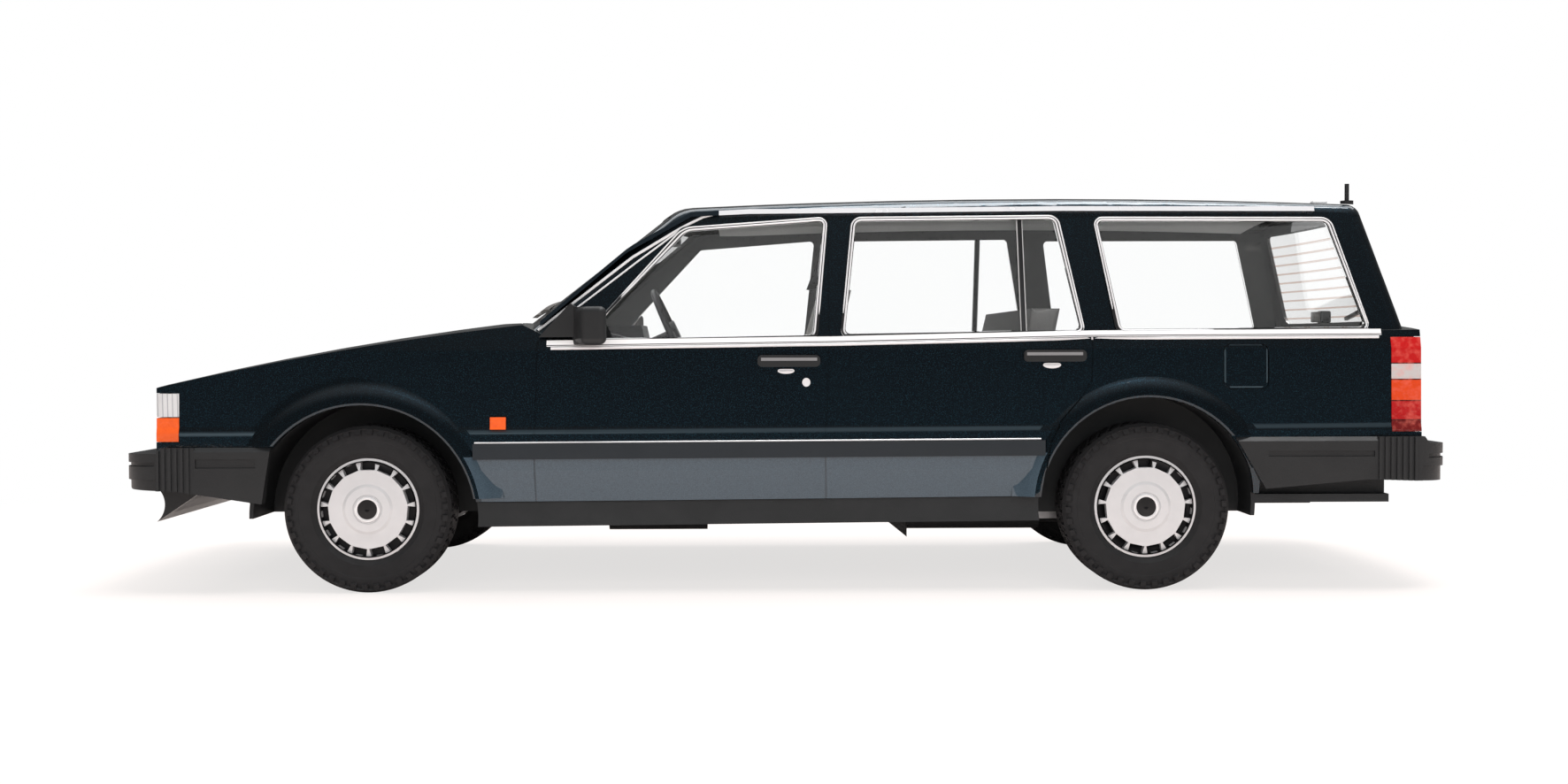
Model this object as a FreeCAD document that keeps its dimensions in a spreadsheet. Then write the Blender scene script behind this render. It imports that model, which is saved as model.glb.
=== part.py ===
# Diecast scale model of a station wagon, 1:18, modelled in millimetres.
# The nose points to -X, +Z is up and the tyres stand on Z = 0, under the middle of the overall length.
# The body is one zinc casting with engraved shut lines over a moulded base; only wheels and steering move.
import FreeCAD, Part
import Sketcher
import math
import os
import re

Vector = FreeCAD.Vector
doc = FreeCAD.newDocument("StationWagonModel")

# Driving dimensions of the model, in millimetres unless the name says otherwise.
SIZES = [
    # whole car
    ("overall_length", 266.0), ("overall_height", 79.9), ("wheelbase", 153.9), ("front_overhang", 50.0),
    ("track", 81.4), ("body_half_width", 48.0),
    # casting
    ("wall", 1.4), ("groove_width", 0.34), ("groove_depth", 0.35), ("seat_gap", 0.1), ("overrun", 12.0),
    ("pane_gap", 0.05), ("trim_height", 0.4),
    ("body_crown_radius", 660.0), ("roof_crown_radius", 340.0),
    ("screen_run", 30.9), ("screen_rise", 23.9), ("screen_bow", 12.4),
    ("gate_run", 7.6), ("gate_rise", 24.5), ("gate_bow", 5.0),
    ("header_radius", 9.0), ("roof_tail_radius", 3.0), ("roof_edge_radius", 2.6),
    ("nose_bow", 4.8), ("tail_bow", 3.0), ("bonnet_edge", 1.7),
    ("front_arch_radius", 22.4), ("rear_arch_radius", 21.3),
    ("flare_reach", 5.6), ("flare_height", 0.7), ("flare_drop", 1.9), ("lip_width", 0.4),
    # glass and trim
    ("glass_thickness", 1.0), ("glass_recess", 0.15), ("window_corner_radius", 1.0),
    ("frame_width", 0.95), ("rail_width", 0.95), ("rail_height", 0.7),
    ("belt_width", 1.2), ("strip_width", 3.0), ("strip_height", 0.7),
    ("lining_thickness", 0.8),
    ("handle_height", 1.1), ("handle_width", 2.3), ("grille_height", 0.5), ("grille_rim", 0.8),
    ("slat_width", 0.55), ("bowl_radius", 7.0), ("bumper_half_width", 48.6), ("bumper_bow", 1.3),
    ("bumper_corner", 9.6), ("bumper_bevel", 0.8),
    ("rib_width", 0.6), ("rib_pitch", 1.18), ("rib_height", 0.35),
    ("mirror_round", 1.2), ("wiper_width", 0.7), ("wiper_height", 0.8),
    ("aerial_foot_radius", 1.3), ("aerial_radius", 0.45),
    # chassis and cabin
    ("floor_height", 14.6), ("floor_thickness", 1.6), ("well_wall", 0.9), ("screw_radius", 1.25),
    ("screw_depth", 6.0), ("boss_height", 8.0), ("pipe_radius", 1.1), ("silencer_radius", 2.4),
    ("tub_wall", 1.2), ("cabin_floor", 19.6), ("seat_round", 1.0), ("mirror_stem_radius", 0.5),
    ("steering_wheel_radius", 10.0), ("steering_rim_radius", 0.65),
    # wheels
    ("tyre_radius", 16.6), ("tyre_width", 10.3), ("bead_radius", 10.1), ("rim_wall", 0.7),
    ("cover_dish", 0.9), ("cover_wall", 0.8), ("tyre_shoulder", 0.9), ("slot_outer_radius", 9.35),
    ("slot_inner_radius", 7.75), ("slot_width", 2.9), ("boss_ring_radius", 4.7), ("cap_radius", 2.6),
    ("hub_radius", 3.0), ("shaft_radius", 1.2), ("running_gap", 0.05), ("side_gap", 0.3),
    # steering
    ("kingpin_offset", 4.9), ("kingpin_radius", 0.9), ("knuckle_size", 4.6), ("jaw_thickness", 1.5),
    ("arm_length", 6.4), ("peg_radius", 0.5), ("rod_width", 1.8), ("beam_width", 6.0),
]

# Repeated features, and the steering wheel's slope in degrees.
GRILLE_SLOTS, COVER_SLOTS, WHEEL_SLOPE = 22, 15, 66

NAMES = re.compile(r"\b(" + "|".join(name for name, number in SIZES) + r")\b")

sheet = doc.addObject("Spreadsheet::Sheet", "Sizes")
for row, (name, number) in enumerate(SIZES, start=1):
    sheet.set("A%d" % row, str(number))
    sheet.setAlias("A%d" % row, name)
doc.recompute()


def bound(text):
    """An expression with each size name pointing at its cell."""
    return NAMES.sub(lambda found: "Sizes." + found.group(0), str(text))


def value(text):
    """The number that an expression has now."""
    return float(sheet.evalExpression(bound(text)))


def nose(share):
    """X at a share of the front overhang: 0 at the bumper, 1 at the front axle."""
    return "(%s * front_overhang - overall_length / 2)" % share


def cabin(share):
    """X at a share of the wheelbase: 0 at the front axle, 1 at the rear one."""
    return "(front_overhang - overall_length / 2 + %s * wheelbase)" % share


def tail(share):
    """X at a share of the rear overhang: 0 at the rear axle, 1 at the bumper."""
    return "(overall_length / 2 - (1 - %s) * (overall_length - front_overhang - wheelbase))" % share


def up(share):
    """Z at a share of the overall height."""
    return "(%s * overall_height)" % share


PLANES = {
    "side": FreeCAD.Rotation(Vector(1, 0, 0), 90),
    "plan": FreeCAD.Rotation(),
    "front": FreeCAD.Rotation(Vector(1, 1, 1), 120),
}


def pin(sketch, item, end, place):
    """Holds a sketch point at a pair of expressions."""
    for kind, text in zip(("DistanceX", "DistanceY"), place):
        index = sketch.addConstraint(Sketcher.Constraint(kind, -1, 1, item, end, value(text)))
        sketch.setExpression("Constraints[%d]" % index, bound(text))


def draw(sketch, points):
    """A closed outline. A point is (x, y), or (x, y, "via") for the middle of an arc."""
    corners = [index for index, point in enumerate(points) if len(point) == 2]
    items = []
    for here, after in zip(corners, corners[1:] + corners[:1]):
        start, stop = points[here], points[after]
        flat = [Vector(value(x), value(y), 0) for x, y in (start[:2], stop[:2])]
        between = points[(here + 1) % len(points)]
        if len(between) == 3:
            middle = Vector(value(between[0]), value(between[1]), 0)
            items.append(sketch.addGeometry(Part.Arc(flat[0], middle, flat[1])))
            helper = sketch.addGeometry(Part.Point(middle), True)
            pin(sketch, helper, 1, between[:2])
            sketch.addConstraint(Sketcher.Constraint("PointOnObject", helper, 1, items[-1]))
        else:
            items.append(sketch.addGeometry(Part.LineSegment(flat[0], flat[1])))
        pin(sketch, items[-1], ends_of(sketch, items[-1], flat[0])[0], start[:2])
    for item, after in zip(items, items[1:] + items[:1]):
        joint = sketch.getPoint(after, 1), sketch.getPoint(after, 2)
        near = 1 if close(joint[0], item, sketch) else 2
        own = 1 if close_point(sketch.getPoint(item, 1), sketch.getPoint(after, near)) else 2
        sketch.addConstraint(Sketcher.Constraint("Coincident", item, own, after, near))


def close_point(one, other):
    """True when two points are the same."""
    return one.distanceToPoint(other) < 1e-6


def close(point, item, sketch):
    """True when the point is an end of this sketch item."""
    return any(close_point(point, sketch.getPoint(item, end)) for end in (1, 2))


def ends_of(sketch, item, point):
    """The sketch ends of an item, the one at this point first."""
    return (1, 2) if close_point(sketch.getPoint(item, 1), point) else (2, 1)


def outline(name, plane, points, offset="0"):
    """A sketch on a plane of the car: side is (X, Z), plan is (X, Y), front is (Y, Z)."""
    sketch = doc.addObject("Sketcher::SketchObject", name)
    sketch.Placement = FreeCAD.Placement(Vector(), PLANES[plane])
    axis = {"side": "y", "plan": "z", "front": "x"}[plane]
    sketch.setExpression("Placement.Base." + axis, bound(offset))
    draw(sketch, points)
    return sketch


def extrude(name, sketch, low, high, plane):
    """A solid from a sketch, between two places on the axis across its plane."""
    solid = doc.addObject("Part::Extrusion", name)
    solid.Base = sketch
    solid.DirMode = "Custom"
    solid.Dir = {"side": Vector(0, 1, 0), "plan": Vector(0, 0, 1), "front": Vector(1, 0, 0)}[plane]
    solid.Solid = True
    solid.setExpression("LengthFwd", bound(high))
    solid.setExpression("LengthRev", bound("-(%s)" % low))
    return solid


def prism(name, plane, points, low, high):
    """An outline pulled from low to high across its plane."""
    return extrude(name, outline(name + "_outline", plane, points), low, high, plane)


def box(name, x, y, z):
    """A box between pairs of places."""
    solid = doc.addObject("Part::Box", name)
    for side, axis, (low, high) in zip(("Length", "Width", "Height"), "xyz", (x, y, z)):
        solid.setExpression(side, bound("(%s) - (%s)" % (high, low)))
        solid.setExpression("Placement.Base." + axis, bound(low))
    return solid


def rod(name, axis, radius, low, high, at):
    """A cylinder along an axis, between two places on it, at a pair of places across it."""
    solid = doc.addObject("Part::Cylinder", name)
    turn = {"x": FreeCAD.Rotation(Vector(0, 1, 0), 90), "y": FreeCAD.Rotation(Vector(1, 0, 0), -90),
            "z": FreeCAD.Rotation()}[axis]
    solid.Placement = FreeCAD.Placement(Vector(), turn)
    solid.setExpression("Radius", bound(radius))
    solid.setExpression("Height", bound("(%s) - (%s)" % (high, low)))
    places = dict(zip([letter for letter in "xyz" if letter != axis], at))
    places[axis] = low
    for letter, text in places.items():
        solid.setExpression("Placement.Base." + letter, bound(text))
    return solid


def fuse(name, *pieces):
    """Pieces moulded as one."""
    joined = doc.addObject("Part::MultiFuse", name)
    joined.Shapes = list(pieces)
    return joined


def common(name, *pieces):
    """What all the pieces share."""
    shared = doc.addObject("Part::MultiCommon", name)
    shared.Shapes = list(pieces)
    return shared


def cut(name, base, tool):
    """A piece with the tool's room taken out."""
    left = doc.addObject("Part::Cut", name)
    left.Base = base
    left.Tool = tool
    return left


def mirrored(name, source):
    """The same piece on the other side of the car."""
    other = doc.addObject("Part::Mirroring", name)
    other.Source = source
    other.Normal = Vector(0, 1, 0)
    return other


def rounded(name, base, radius, chosen):
    """Fillets on the edges that the test picks by their middle and ends."""
    doc.recompute()
    edges = []
    for index, edge in enumerate(base.Shape.Edges, start=1):
        low, high = edge.ParameterRange
        if chosen(edge.valueAt((low + high) / 2), edge):
            edges.append((index, value(radius), value(radius)))
    fillet = doc.addObject("Part::Fillet", name)
    fillet.Base = base
    fillet.Edges = edges
    return fillet


NODES = {}


def node(name, thing):
    """Names a finished piece."""
    thing.Label = name
    NODES[name] = thing
    return thing


# Body form: cross-sections lofted along the car, limited by the crowned side view and a bowed plan.
# Lower sections: place from nose to tail, width, height of the bottom edge.
lower_station_shares = [
    ("nose", 0.08, 0.966, 0.222), ("cabin", 0.00, 0.990, 0.224), ("cabin", 0.23, 0.999, 0.227),
    ("cabin", 0.60, 1.000, 0.232), ("cabin", 0.97, 0.998, 0.238), ("tail", 0.97, 0.962, 0.243),
]
# The side from its bottom edge up: width and height of each bend.
side_shares = [(0.305, 1.0), (0.398, 1.0), (0.413, 0.991), (0.600, 0.983), (0.660, 0.950), (0.80, 0.87)]
tuck_share = 0.962
# Upper sections: place, half-width at the foot of the windows, at the top of them.
upper_station_shares = [
    ("cabin", 0.10, 0.948, 0.730), ("cabin", 0.45, 0.957, 0.738), ("cabin", 0.90, 0.957, 0.738),
    ("tail", 0.97, 0.920, 0.702),
]
upper_foot_share, upper_head_share = 0.607, 1.030
PLACES = {"nose": nose, "cabin": cabin, "tail": tail}


def lower_section(name, station, inset):
    """One closed cross-section of the lower body, seen from the front."""
    region, place, width, bottom = station
    half = "(%s * body_half_width - %s)" % (width, inset)
    right = [("%s * %s" % (half, tuck_share), up(bottom))]
    right += [("%s * %s" % (half, wide), up(high)) for high, wide in side_shares]
    left = [("-(%s)" % y, z) for y, z in reversed(right)]
    return outline(name, "front", right + left, PLACES[region](place))


def upper_section(name, station, inset):
    """One closed cross-section of the window band and roof."""
    region, place, foot, head = station
    foot_half = "(%s * body_half_width - %s)" % (foot, inset)
    head_half = "(%s * body_half_width - %s)" % (head, inset)
    points = [(foot_half, up(upper_foot_share)), (head_half, up(upper_head_share)),
              ("-" + head_half, up(upper_head_share)), ("-" + foot_half, up(upper_foot_share))]
    return outline(name, "front", points, PLACES[region](place))


def loft(name, sections, ruled=False):
    """A solid drawn through cross-sections, straight between them when ruled."""
    solid = doc.addObject("Part::Loft", name)
    solid.Sections = sections
    solid.Solid = True
    solid.Ruled = ruled
    return solid


def swing(name, profile, radius, high):
    """Turns a side view about a low axis along the car, so that its top is crowned across the car."""
    solid = doc.addObject("Part::Revolution", name)
    solid.Source = profile
    solid.Axis = Vector(1, 0, 0)
    solid.setExpression("Base.z", bound("%s - %s" % (high, radius)))
    solid.setExpression("Angle", bound("2 * asin((body_half_width + overrun) / (%s) ) / 1 deg" % radius))
    solid.Symmetric = True
    solid.Solid = True
    return solid


def raked(name, points, low, high, run, rise):
    """A plan outline pulled along a slope, for the bowed screen and tailgate."""
    solid = doc.addObject("Part::Extrusion", name)
    solid.Base = outline(name + "_outline", "plan", points, up(upper_foot_share))
    solid.DirMode = "Custom"
    solid.Dir = Vector(1, 0, 1)
    solid.Solid = True
    solid.setExpression("Dir.x", bound(run))
    solid.setExpression("Dir.z", bound(rise))
    solid.setExpression("LengthFwd", bound(high))
    solid.setExpression("LengthRev", bound(low))
    return solid


def bowed(x, bow, half, far):
    """Plan outline of all that lies behind (or ahead of) an arc across the car, as far as another place."""
    return [("%s %s" % (x, bow), "-(%s)" % half), (x, "0", "via"), ("%s %s" % (x, bow), half),
            (far, half), (far, "-(%s)" % half)]


def side_form(tag, inset):
    """The body's two sides, uncut at the top and ends."""
    return loft("side_form_" + tag, [lower_section("lower_section_%s_%d" % (tag, index), station, inset)
                                     for index, station in enumerate(lower_station_shares)])


def lower_form(tag, inset):
    """The body up to the belt and bonnet, drawn in from the outer skin by an inset."""
    front, back = "(%s + %s)" % (nose(0.12), inset), "(%s - %s)" % (tail(0.905), inset)
    profile = outline("lower_profile_" + tag, "side", [
        (front, up(0.1)), (front, up(0.503) + " - " + inset),
        (front + " + bonnet_edge", up(0.527) + " - " + inset),
        (nose(0.80), up(0.610) + " - " + inset, "via"),
        (cabin(0.200), up(0.682) + " - " + inset),
        (cabin(0.240), up(0.646) + " - " + inset),
        (back, up(0.664) + " - " + inset), (back, up(0.1)),
    ])
    half = "(body_half_width + overrun)"
    reach = "overall_length / 2"
    nose_plan = prism("nose_plan_" + tag, "plan", bowed(front, "+ nose_bow", half, reach),
                      "0", "overall_height")
    tail_plan = prism("tail_plan_" + tag, "plan", bowed(back, "- tail_bow", half, "-" + reach),
                      "0", "overall_height")
    crowned = swing("lower_crown_" + tag, profile, "body_crown_radius", up(0.65))
    return common("lower_form_" + tag, side_form(tag, inset), crowned, nose_plan, tail_plan)


def upper_form(tag, inset):
    """The window band and roof, drawn in from the outer skin by an inset."""
    sections = [upper_section("upper_section_%s_%d" % (tag, index), station, inset)
                for index, station in enumerate(upper_station_shares)]
    ends = (cabin(0.05), "overall_length / 2")
    profile = outline("roof_profile_" + tag, "side", [
        (ends[0], up(0.5)), (ends[0], up(0.935) + " - " + inset),
        (cabin(0.80), "overall_height - " + inset, "via"),
        (ends[1], up(0.975) + " - " + inset), (ends[1], up(0.5)),
    ])
    crowned = swing("roof_crown_" + tag, profile, "roof_crown_radius", "overall_height")
    half = "(body_half_width + overrun)"
    screen = raked("screen_rake_" + tag,
                   bowed("(%s + %s * sqrt(screen_run ^ 2 + screen_rise ^ 2) / screen_rise)"
                         % (cabin(0.140), inset), "+ screen_bow", half, "overall_length"),
                   "overall_height", "overall_height", "screen_run", "screen_rise")
    gate = raked("gate_rake_" + tag,
                 bowed("(%s - %s)" % (tail(0.894), inset), "- gate_bow", half, "-overall_length"),
                 "overall_height", "overall_height", "-gate_run", "gate_rise")
    return common("upper_form_" + tag, loft("upper_loft_" + tag, sections, True), crowned, screen, gate)


def body_form(tag, inset):
    """The whole outer shape, drawn in by an inset, with its long edges rounded."""
    lower, upper = lower_form(tag, inset), upper_form(tag, inset)
    upper = rounded("header_round_" + tag, upper, "header_radius - %s" % inset, is_header)
    upper = rounded("gate_round_" + tag, upper, "roof_tail_radius - %s" % inset, is_gate_edge)
    upper = rounded("cantrail_round_" + tag, upper, "roof_edge_radius - %s" % inset, is_cantrail)
    return fuse("body_form_" + tag, lower, upper)


def is_header(middle, edge):
    """The edge between the screen and the roof."""
    return abs(middle.y) < 1 and middle.x < 0 and middle.z > value(up(0.9))


def is_gate_edge(middle, edge):
    """The edge between the roof and the tailgate."""
    return abs(middle.y) < 1 and middle.x > 0 and middle.z > value(up(0.9))


def is_cantrail(middle, edge):
    """The long edges between the roof and the sides."""
    return abs(middle.y) > value("body_half_width / 2") and middle.z > value(up(0.9))


class Places:
    """Places that several pieces share."""
    front_axle, rear_axle = cabin(0), cabin(1)
    wheel_centre = "(track / 2)"
    kingpin = "(track / 2 - kingpin_offset)"
    sides = "(body_half_width + overrun)"
    inner_well = "(track / 2 - tyre_width / 2 - 8 * side_gap)"
    steer_well = "(track / 2 - kingpin_offset - tyre_radius / 2)"
    floor_high = "(floor_height + floor_thickness)"
    tray_low, tray_high = up(0.2155), up(0.30)


# Wheel arches: the middle of each opening, its radius and the inner wall of the well behind it.
ARCHES = {
    "front": (cabin(-0.0045), up(0.1865), "front_arch_radius", Places.steer_well),
    "rear": (cabin(1.0006), up(0.214), "rear_arch_radius", Places.inner_well),
}


def shell(name, outer, inner):
    """The skin between two of the nested forms."""
    return cut(name, outer, inner)


def band(name, points, outer, inner, plane="side", low=None, high=None):
    """What an outline leaves of the skin between two nested forms."""
    low, high = low or "-" + Places.sides, high or Places.sides
    return common(name, shell(name + "_skin", outer, inner), prism(name + "_shape", plane, points, low, high))


def upright(middle, edge):
    """Edges that run across the car."""
    start, stop = edge.Vertexes[0].Point, edge.Vertexes[-1].Point
    return len(edge.Vertexes) == 2 and abs(start.x - stop.x) < 1e-6 and abs(start.z - stop.z) < 1e-6


def axial(middle, edge):
    """Edges that run along the car."""
    start, stop = edge.Vertexes[0].Point, edge.Vertexes[-1].Point
    return len(edge.Vertexes) == 2 and abs(start.y - stop.y) < 1e-6 and abs(start.z - stop.z) < 1e-6


def half_of(name, piece, side):
    """The left (-1) or right (1) half of a piece that was made on both sides."""
    low, high = ("-" + Places.sides, "0") if side < 0 else ("0", Places.sides)
    keep = box(name + "_half", ("-overall_length", "overall_length"), (low, high),
               ("-overall_height", "2 * overall_height"))
    return common(name, piece, keep)


def group(name, *pieces):
    """Like pieces that stay separate solids in one node."""
    gathered = doc.addObject("Part::Compound", name)
    gathered.Links = list(pieces)
    return gathered


# Nested forms: the outer skin, the cavity, and the surfaces between and around them.
skin = body_form("skin", "0")
groove_floor = body_form("groove", "groove_depth")
cavity = body_form("cavity", "wall")
glass_face = upper_form("glass_face", "glass_recess")
glass_back = upper_form("glass_back", "(glass_recess + glass_thickness)")
trim_lower, trim_upper = lower_form("trim", "-trim_height"), upper_form("trim", "-trim_height")
trim_face = fuse("trim_face", trim_lower, trim_upper)
strip_face = lower_form("strip", "-strip_height")
rail_face = upper_form("rail", "-rail_height")
handle_face = lower_form("handle", "-handle_height")
plain_lower, plain_upper = lower_form("plain", "0"), upper_form("plain", "0")

# Side windows: corners from the front foot round to the rear foot, with the way each corner grows.
window_shares = {
    "front_door": [("cabin", 0.275, 0.626), ("cabin", 0.409, 0.896), ("cabin", 0.587, 0.922),
                   ("cabin", 0.572, 0.635)],
    "rear_door": [("cabin", 0.613, 0.638), ("cabin", 0.630, 0.921), ("cabin", 0.888, 0.925),
                  ("cabin", 0.917, 0.646)],
    "cargo": [("cabin", 0.969, 0.648), ("cabin", 0.945, 0.920), ("tail", 0.612, 0.919),
              ("tail", 0.713, 0.651)],
}
corner_ways = [("-", "-"), ("-", "+"), ("+", "+"), ("+", "-")]
screen_shares = [(0.860, 0.668), (0.715, 0.940)]
gate_glass_shares = [(0.800, 0.668), (0.700, 0.930)]


def window(name, corners, grow):
    """One side window opening, right through the car, grown outwards by a width."""
    points = [("%s %s %s" % (PLACES[region](place), way[0], grow), "%s %s %s" % (up(high), way[1], grow))
              for (region, place, high), way in zip(corners, corner_ways)]
    blank = prism(name + "_blank", "side", points, "-" + Places.sides, Places.sides)
    return rounded(name, blank, "window_corner_radius + %s" % grow, upright)


def end_window(name, shares, grow, low, high):
    """The windscreen or tailgate opening, pulled along the car."""
    (foot, sill), (head, top) = shares
    right = [("%s * body_half_width + %s" % (foot, grow), "%s - %s" % (up(sill), grow)),
             ("%s * body_half_width + %s" % (head, grow), "%s + %s" % (up(top), grow))]
    points = right + [("-(%s)" % y, z) for y, z in reversed(right)]
    blank = prism(name + "_blank", "front", points, low, high)
    return rounded(name, blank, "2 * window_corner_radius + %s" % grow, axial)


def all_windows(tag, grow):
    """Every glazed opening in the body."""
    sides = [window("%s_%s" % (tag, key), corners, grow) for key, corners in window_shares.items()]
    screen = end_window(tag + "_screen", screen_shares, grow, cabin(0), cabin(0.6))
    gate = end_window(tag + "_gate", gate_glass_shares, grow, tail(0.3), tail(1.2))
    return sides, screen, gate


# Shut lines: each is a thin blade along its line. Points run down the line.
shut_line_shares = [
    [(0.2203, 0.620), (0.216, 0.375), (0.217, 0.160)],
    [(0.5926, 0.930), (0.5926, 0.607), (0.587, 0.375), (0.589, 0.160)],
    [(0.930, 0.640), (0.9285, 0.522), (0.915, 0.480), (0.889, 0.424), (0.875, 0.369), (0.857, 0.160)],
]
bonnet_line_share, tailgate_line_share = 0.905, 0.83


def ribbon(name, points, plane, low, high, across="x"):
    """A thin blade along a line, its width set off along one direction."""
    half = "groove_width / 2"
    if across == "x":
        near = [("%s - %s" % (x, half), z) for x, z in points]
        far = [("%s + %s" % (x, half), z) for x, z in reversed(points)]
    else:
        near = [(x, "%s - %s" % (z, half)) for x, z in points]
        far = [(x, "%s + %s" % (z, half)) for x, z in reversed(points)]
    return prism(name, plane, near + far, low, high)


def shut_lines():
    """All engraved lines: doors, bonnet, fuel flap and tailgate."""
    blades = []
    for index, line in enumerate(shut_line_shares):
        points = [(cabin(place), up(high)) for place, high in line]
        blades.append(ribbon("door_line_%d" % index, points, "side", "-" + Places.sides, Places.sides))
    edge = "%s * body_half_width" % bonnet_line_share
    for side in ("-", ""):
        lane = side + "(" + edge + ")"
        blades.append(ribbon("bonnet_line" + ("_left" if side else "_right"),
                             [(nose(0.05), lane), (cabin(0.196), lane)], "plan", up(0.45), up(0.75), "y"))
        gate = side + "(%s * body_half_width)" % tailgate_line_share
        head = side + "(%s * body_half_width)" % (tailgate_line_share - 0.11)
        blades.append(ribbon("gate_line" + ("_left" if side else "_right"),
                             [(gate, up(0.425)), (gate, up(0.62)), (head, up(0.955))],
                             "front", tail(0.70), tail(1.1)))
    blades.append(ribbon("bonnet_tail", [(cabin(0.196), "-(%s)" % edge), (cabin(0.170), "0"),
                                         (cabin(0.196), edge)], "plan", up(0.45), up(0.75)))
    blades.append(ribbon("gate_foot", [("-(%s * body_half_width)" % tailgate_line_share, up(0.425)),
                                       ("%s * body_half_width" % tailgate_line_share, up(0.425))],
                         "front", tail(0.70), tail(1.1), "y"))
    flaps = [rounded(name, prism(name + "_blank", "side", flap(grow), "-" + Places.sides, "0"),
                     "window_corner_radius + " + grow, upright)
             for name, grow in (("flap_outer", "groove_width"), ("flap_inner", "0"))]
    blades.append(cut("flap_line", *flaps))
    return cut("engraving", fuse("blades", *blades), groove_floor)


def flap(grow):
    """The fuel flap's outline."""
    low, high = tail(0.246), tail(0.382)
    return [("%s - %s" % (low, grow), "%s - %s" % (up(0.503), grow)),
            ("%s - %s" % (low, grow), "%s + %s" % (up(0.606), grow)),
            ("%s + %s" % (high, grow), "%s + %s" % (up(0.606), grow)),
            ("%s + %s" % (high, grow), "%s - %s" % (up(0.503), grow))]


# Lamps: in front view each is a box between widths and heights, on both sides.
lamp_foot, lamp_head, lamp_split = up(0.376), up(0.497), up(0.437)
headlamp_shares, corner_share, grille_share = (0.500, 0.800), 0.812, 0.462
tail_foot, tail_head, tail_front, tail_inner_share = up(0.392), up(0.628), tail(0.779), 0.84


def both_sides(name, low, high, x, z):
    """Two boxes, one each side, between two shares of the body's half-width."""
    pieces = []
    for tag, sign in (("left", "-"), ("right", "")):
        ends = [sign + "(%s * body_half_width)" % share for share in ((high, low) if sign else (low, high))]
        pieces.append(box("%s_%s" % (name, tag), x, ends, z))
    return pieces


def lamp_blocks(tag, gap):
    """The blocks that cut the lamps' shapes out of the skin, each drawn in by a gap."""
    front = (nose(-0.2), nose(0.24))
    low, high = headlamp_shares
    inside = ("%s + %s" % (lamp_foot, gap), "%s - %s" % (lamp_head, gap))
    heads = both_sides(tag + "_head", low, high, front, inside)
    corner = (nose(-0.2), "%s - %s" % (nose(0.267), gap))
    clear = both_sides(tag + "_clear", corner_share, 1.2, corner,
                       ("%s + %s" % (lamp_split, gap), "%s - %s" % (lamp_head, gap)))
    amber = both_sides(tag + "_amber", corner_share, 1.2, corner,
                       ("%s + %s" % (lamp_foot, gap), "%s - %s" % (lamp_split, gap)))
    rear = both_sides(tag + "_tail", tail_inner_share, 1.2, ("%s + %s" % (tail_front, gap), tail(1.2)),
                      ("%s + %s" % (tail_foot, gap), "%s - %s" % (tail_head, gap)))
    return heads, clear, amber, rear


def grille_block(name, gap):
    """The grille's place between the headlamps."""
    half = "(%s * body_half_width - %s)" % (grille_share, gap)
    return box(name, (nose(-0.2), nose(0.24)), ("-" + half, half),
               ("%s + %s" % (lamp_foot, gap), "%s - %s" % (lamp_head, gap)))


def arches(tag, grow, wall="0"):
    """Cylinders through the four wheel arches, from each well's inner wall outwards, grown by a width."""
    found = []
    for end, (x, z, radius, well) in ARCHES.items():
        inner, round_arch = "(%s - %s)" % (well, wall), "(%s + %s)" % (radius, grow)
        for side, span in (("left", ("-" + Places.sides, "-(%s)" % inner)), ("right", (inner, Places.sides))):
            found.append(rod("%s_%s_%s" % (tag, end, side), "y", round_arch, *span, (x, z)))
    return found


def revolve(name, points):
    """A solid of revolution about an axle. Points are (place along the axle, radius)."""
    sketch = doc.addObject("Sketcher::SketchObject", name + "_outline")
    draw(sketch, points)
    solid = doc.addObject("Part::Revolution", name)
    solid.Source = sketch
    solid.Axis = Vector(1, 0, 0)
    solid.Angle = 360
    solid.Solid = True
    return solid


def place(thing, x, y, z, turn):
    """Sets a finished piece in the car."""
    thing.Placement = FreeCAD.Placement(Vector(), turn)
    for axis, text in (("x", x), ("y", y), ("z", z)):
        thing.setExpression("Placement.Base." + axis, bound(text))
    return thing


OUTWARD = {"left": FreeCAD.Rotation(Vector(0, 0, 1), -90), "right": FreeCAD.Rotation(Vector(0, 0, 1), 90)}


def flares():
    """The swelling round each arch: a rolled lip that fades into the wing in an S curve."""
    rings, out, foot = [], "(body_half_width + flare_height)", "(body_half_width - 2 * wall)"
    for end, (x, z, radius, well) in ARCHES.items():
        for tag, turn in OUTWARD.items():
            ring = revolve("flare_%s_%s" % (end, tag), [
                (foot, radius + " - lip_width"),
                (out + " - lip_width", radius + " - lip_width"),
                (out, radius + " + lip_width"),
                (out + " - 0.16 * flare_drop", radius + " + 0.32 * flare_reach", "via"),
                (out + " - 0.52 * flare_drop", radius + " + 0.57 * flare_reach"),
                (out + " - 0.86 * flare_drop", radius + " + 0.78 * flare_reach", "via"),
                (out + " - flare_drop", radius + " + flare_reach"),
                (foot, radius + " + flare_reach"),
            ])
            rings.append(place(ring, x, "0", z, turn))
    front = box("front_bumper_room", (nose(0), Places.front_axle), ("-" + Places.sides, Places.sides),
                ("0", up(0.363) + " + 3 * seat_gap"))
    rear = box("rear_bumper_room", (Places.rear_axle, tail(1)), ("-" + Places.sides, Places.sides),
               ("0", up(0.3815) + " + 3 * seat_gap"))
    under = box("under_room", ("-overall_length", "overall_length"), ("-" + Places.sides, Places.sides),
                ("-overall_height", up(0.236)))
    return cut("arch_flares", fuse("flare_rings", *rings), fuse("bumper_rooms", front, rear, under))


swelling = flares()


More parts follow.
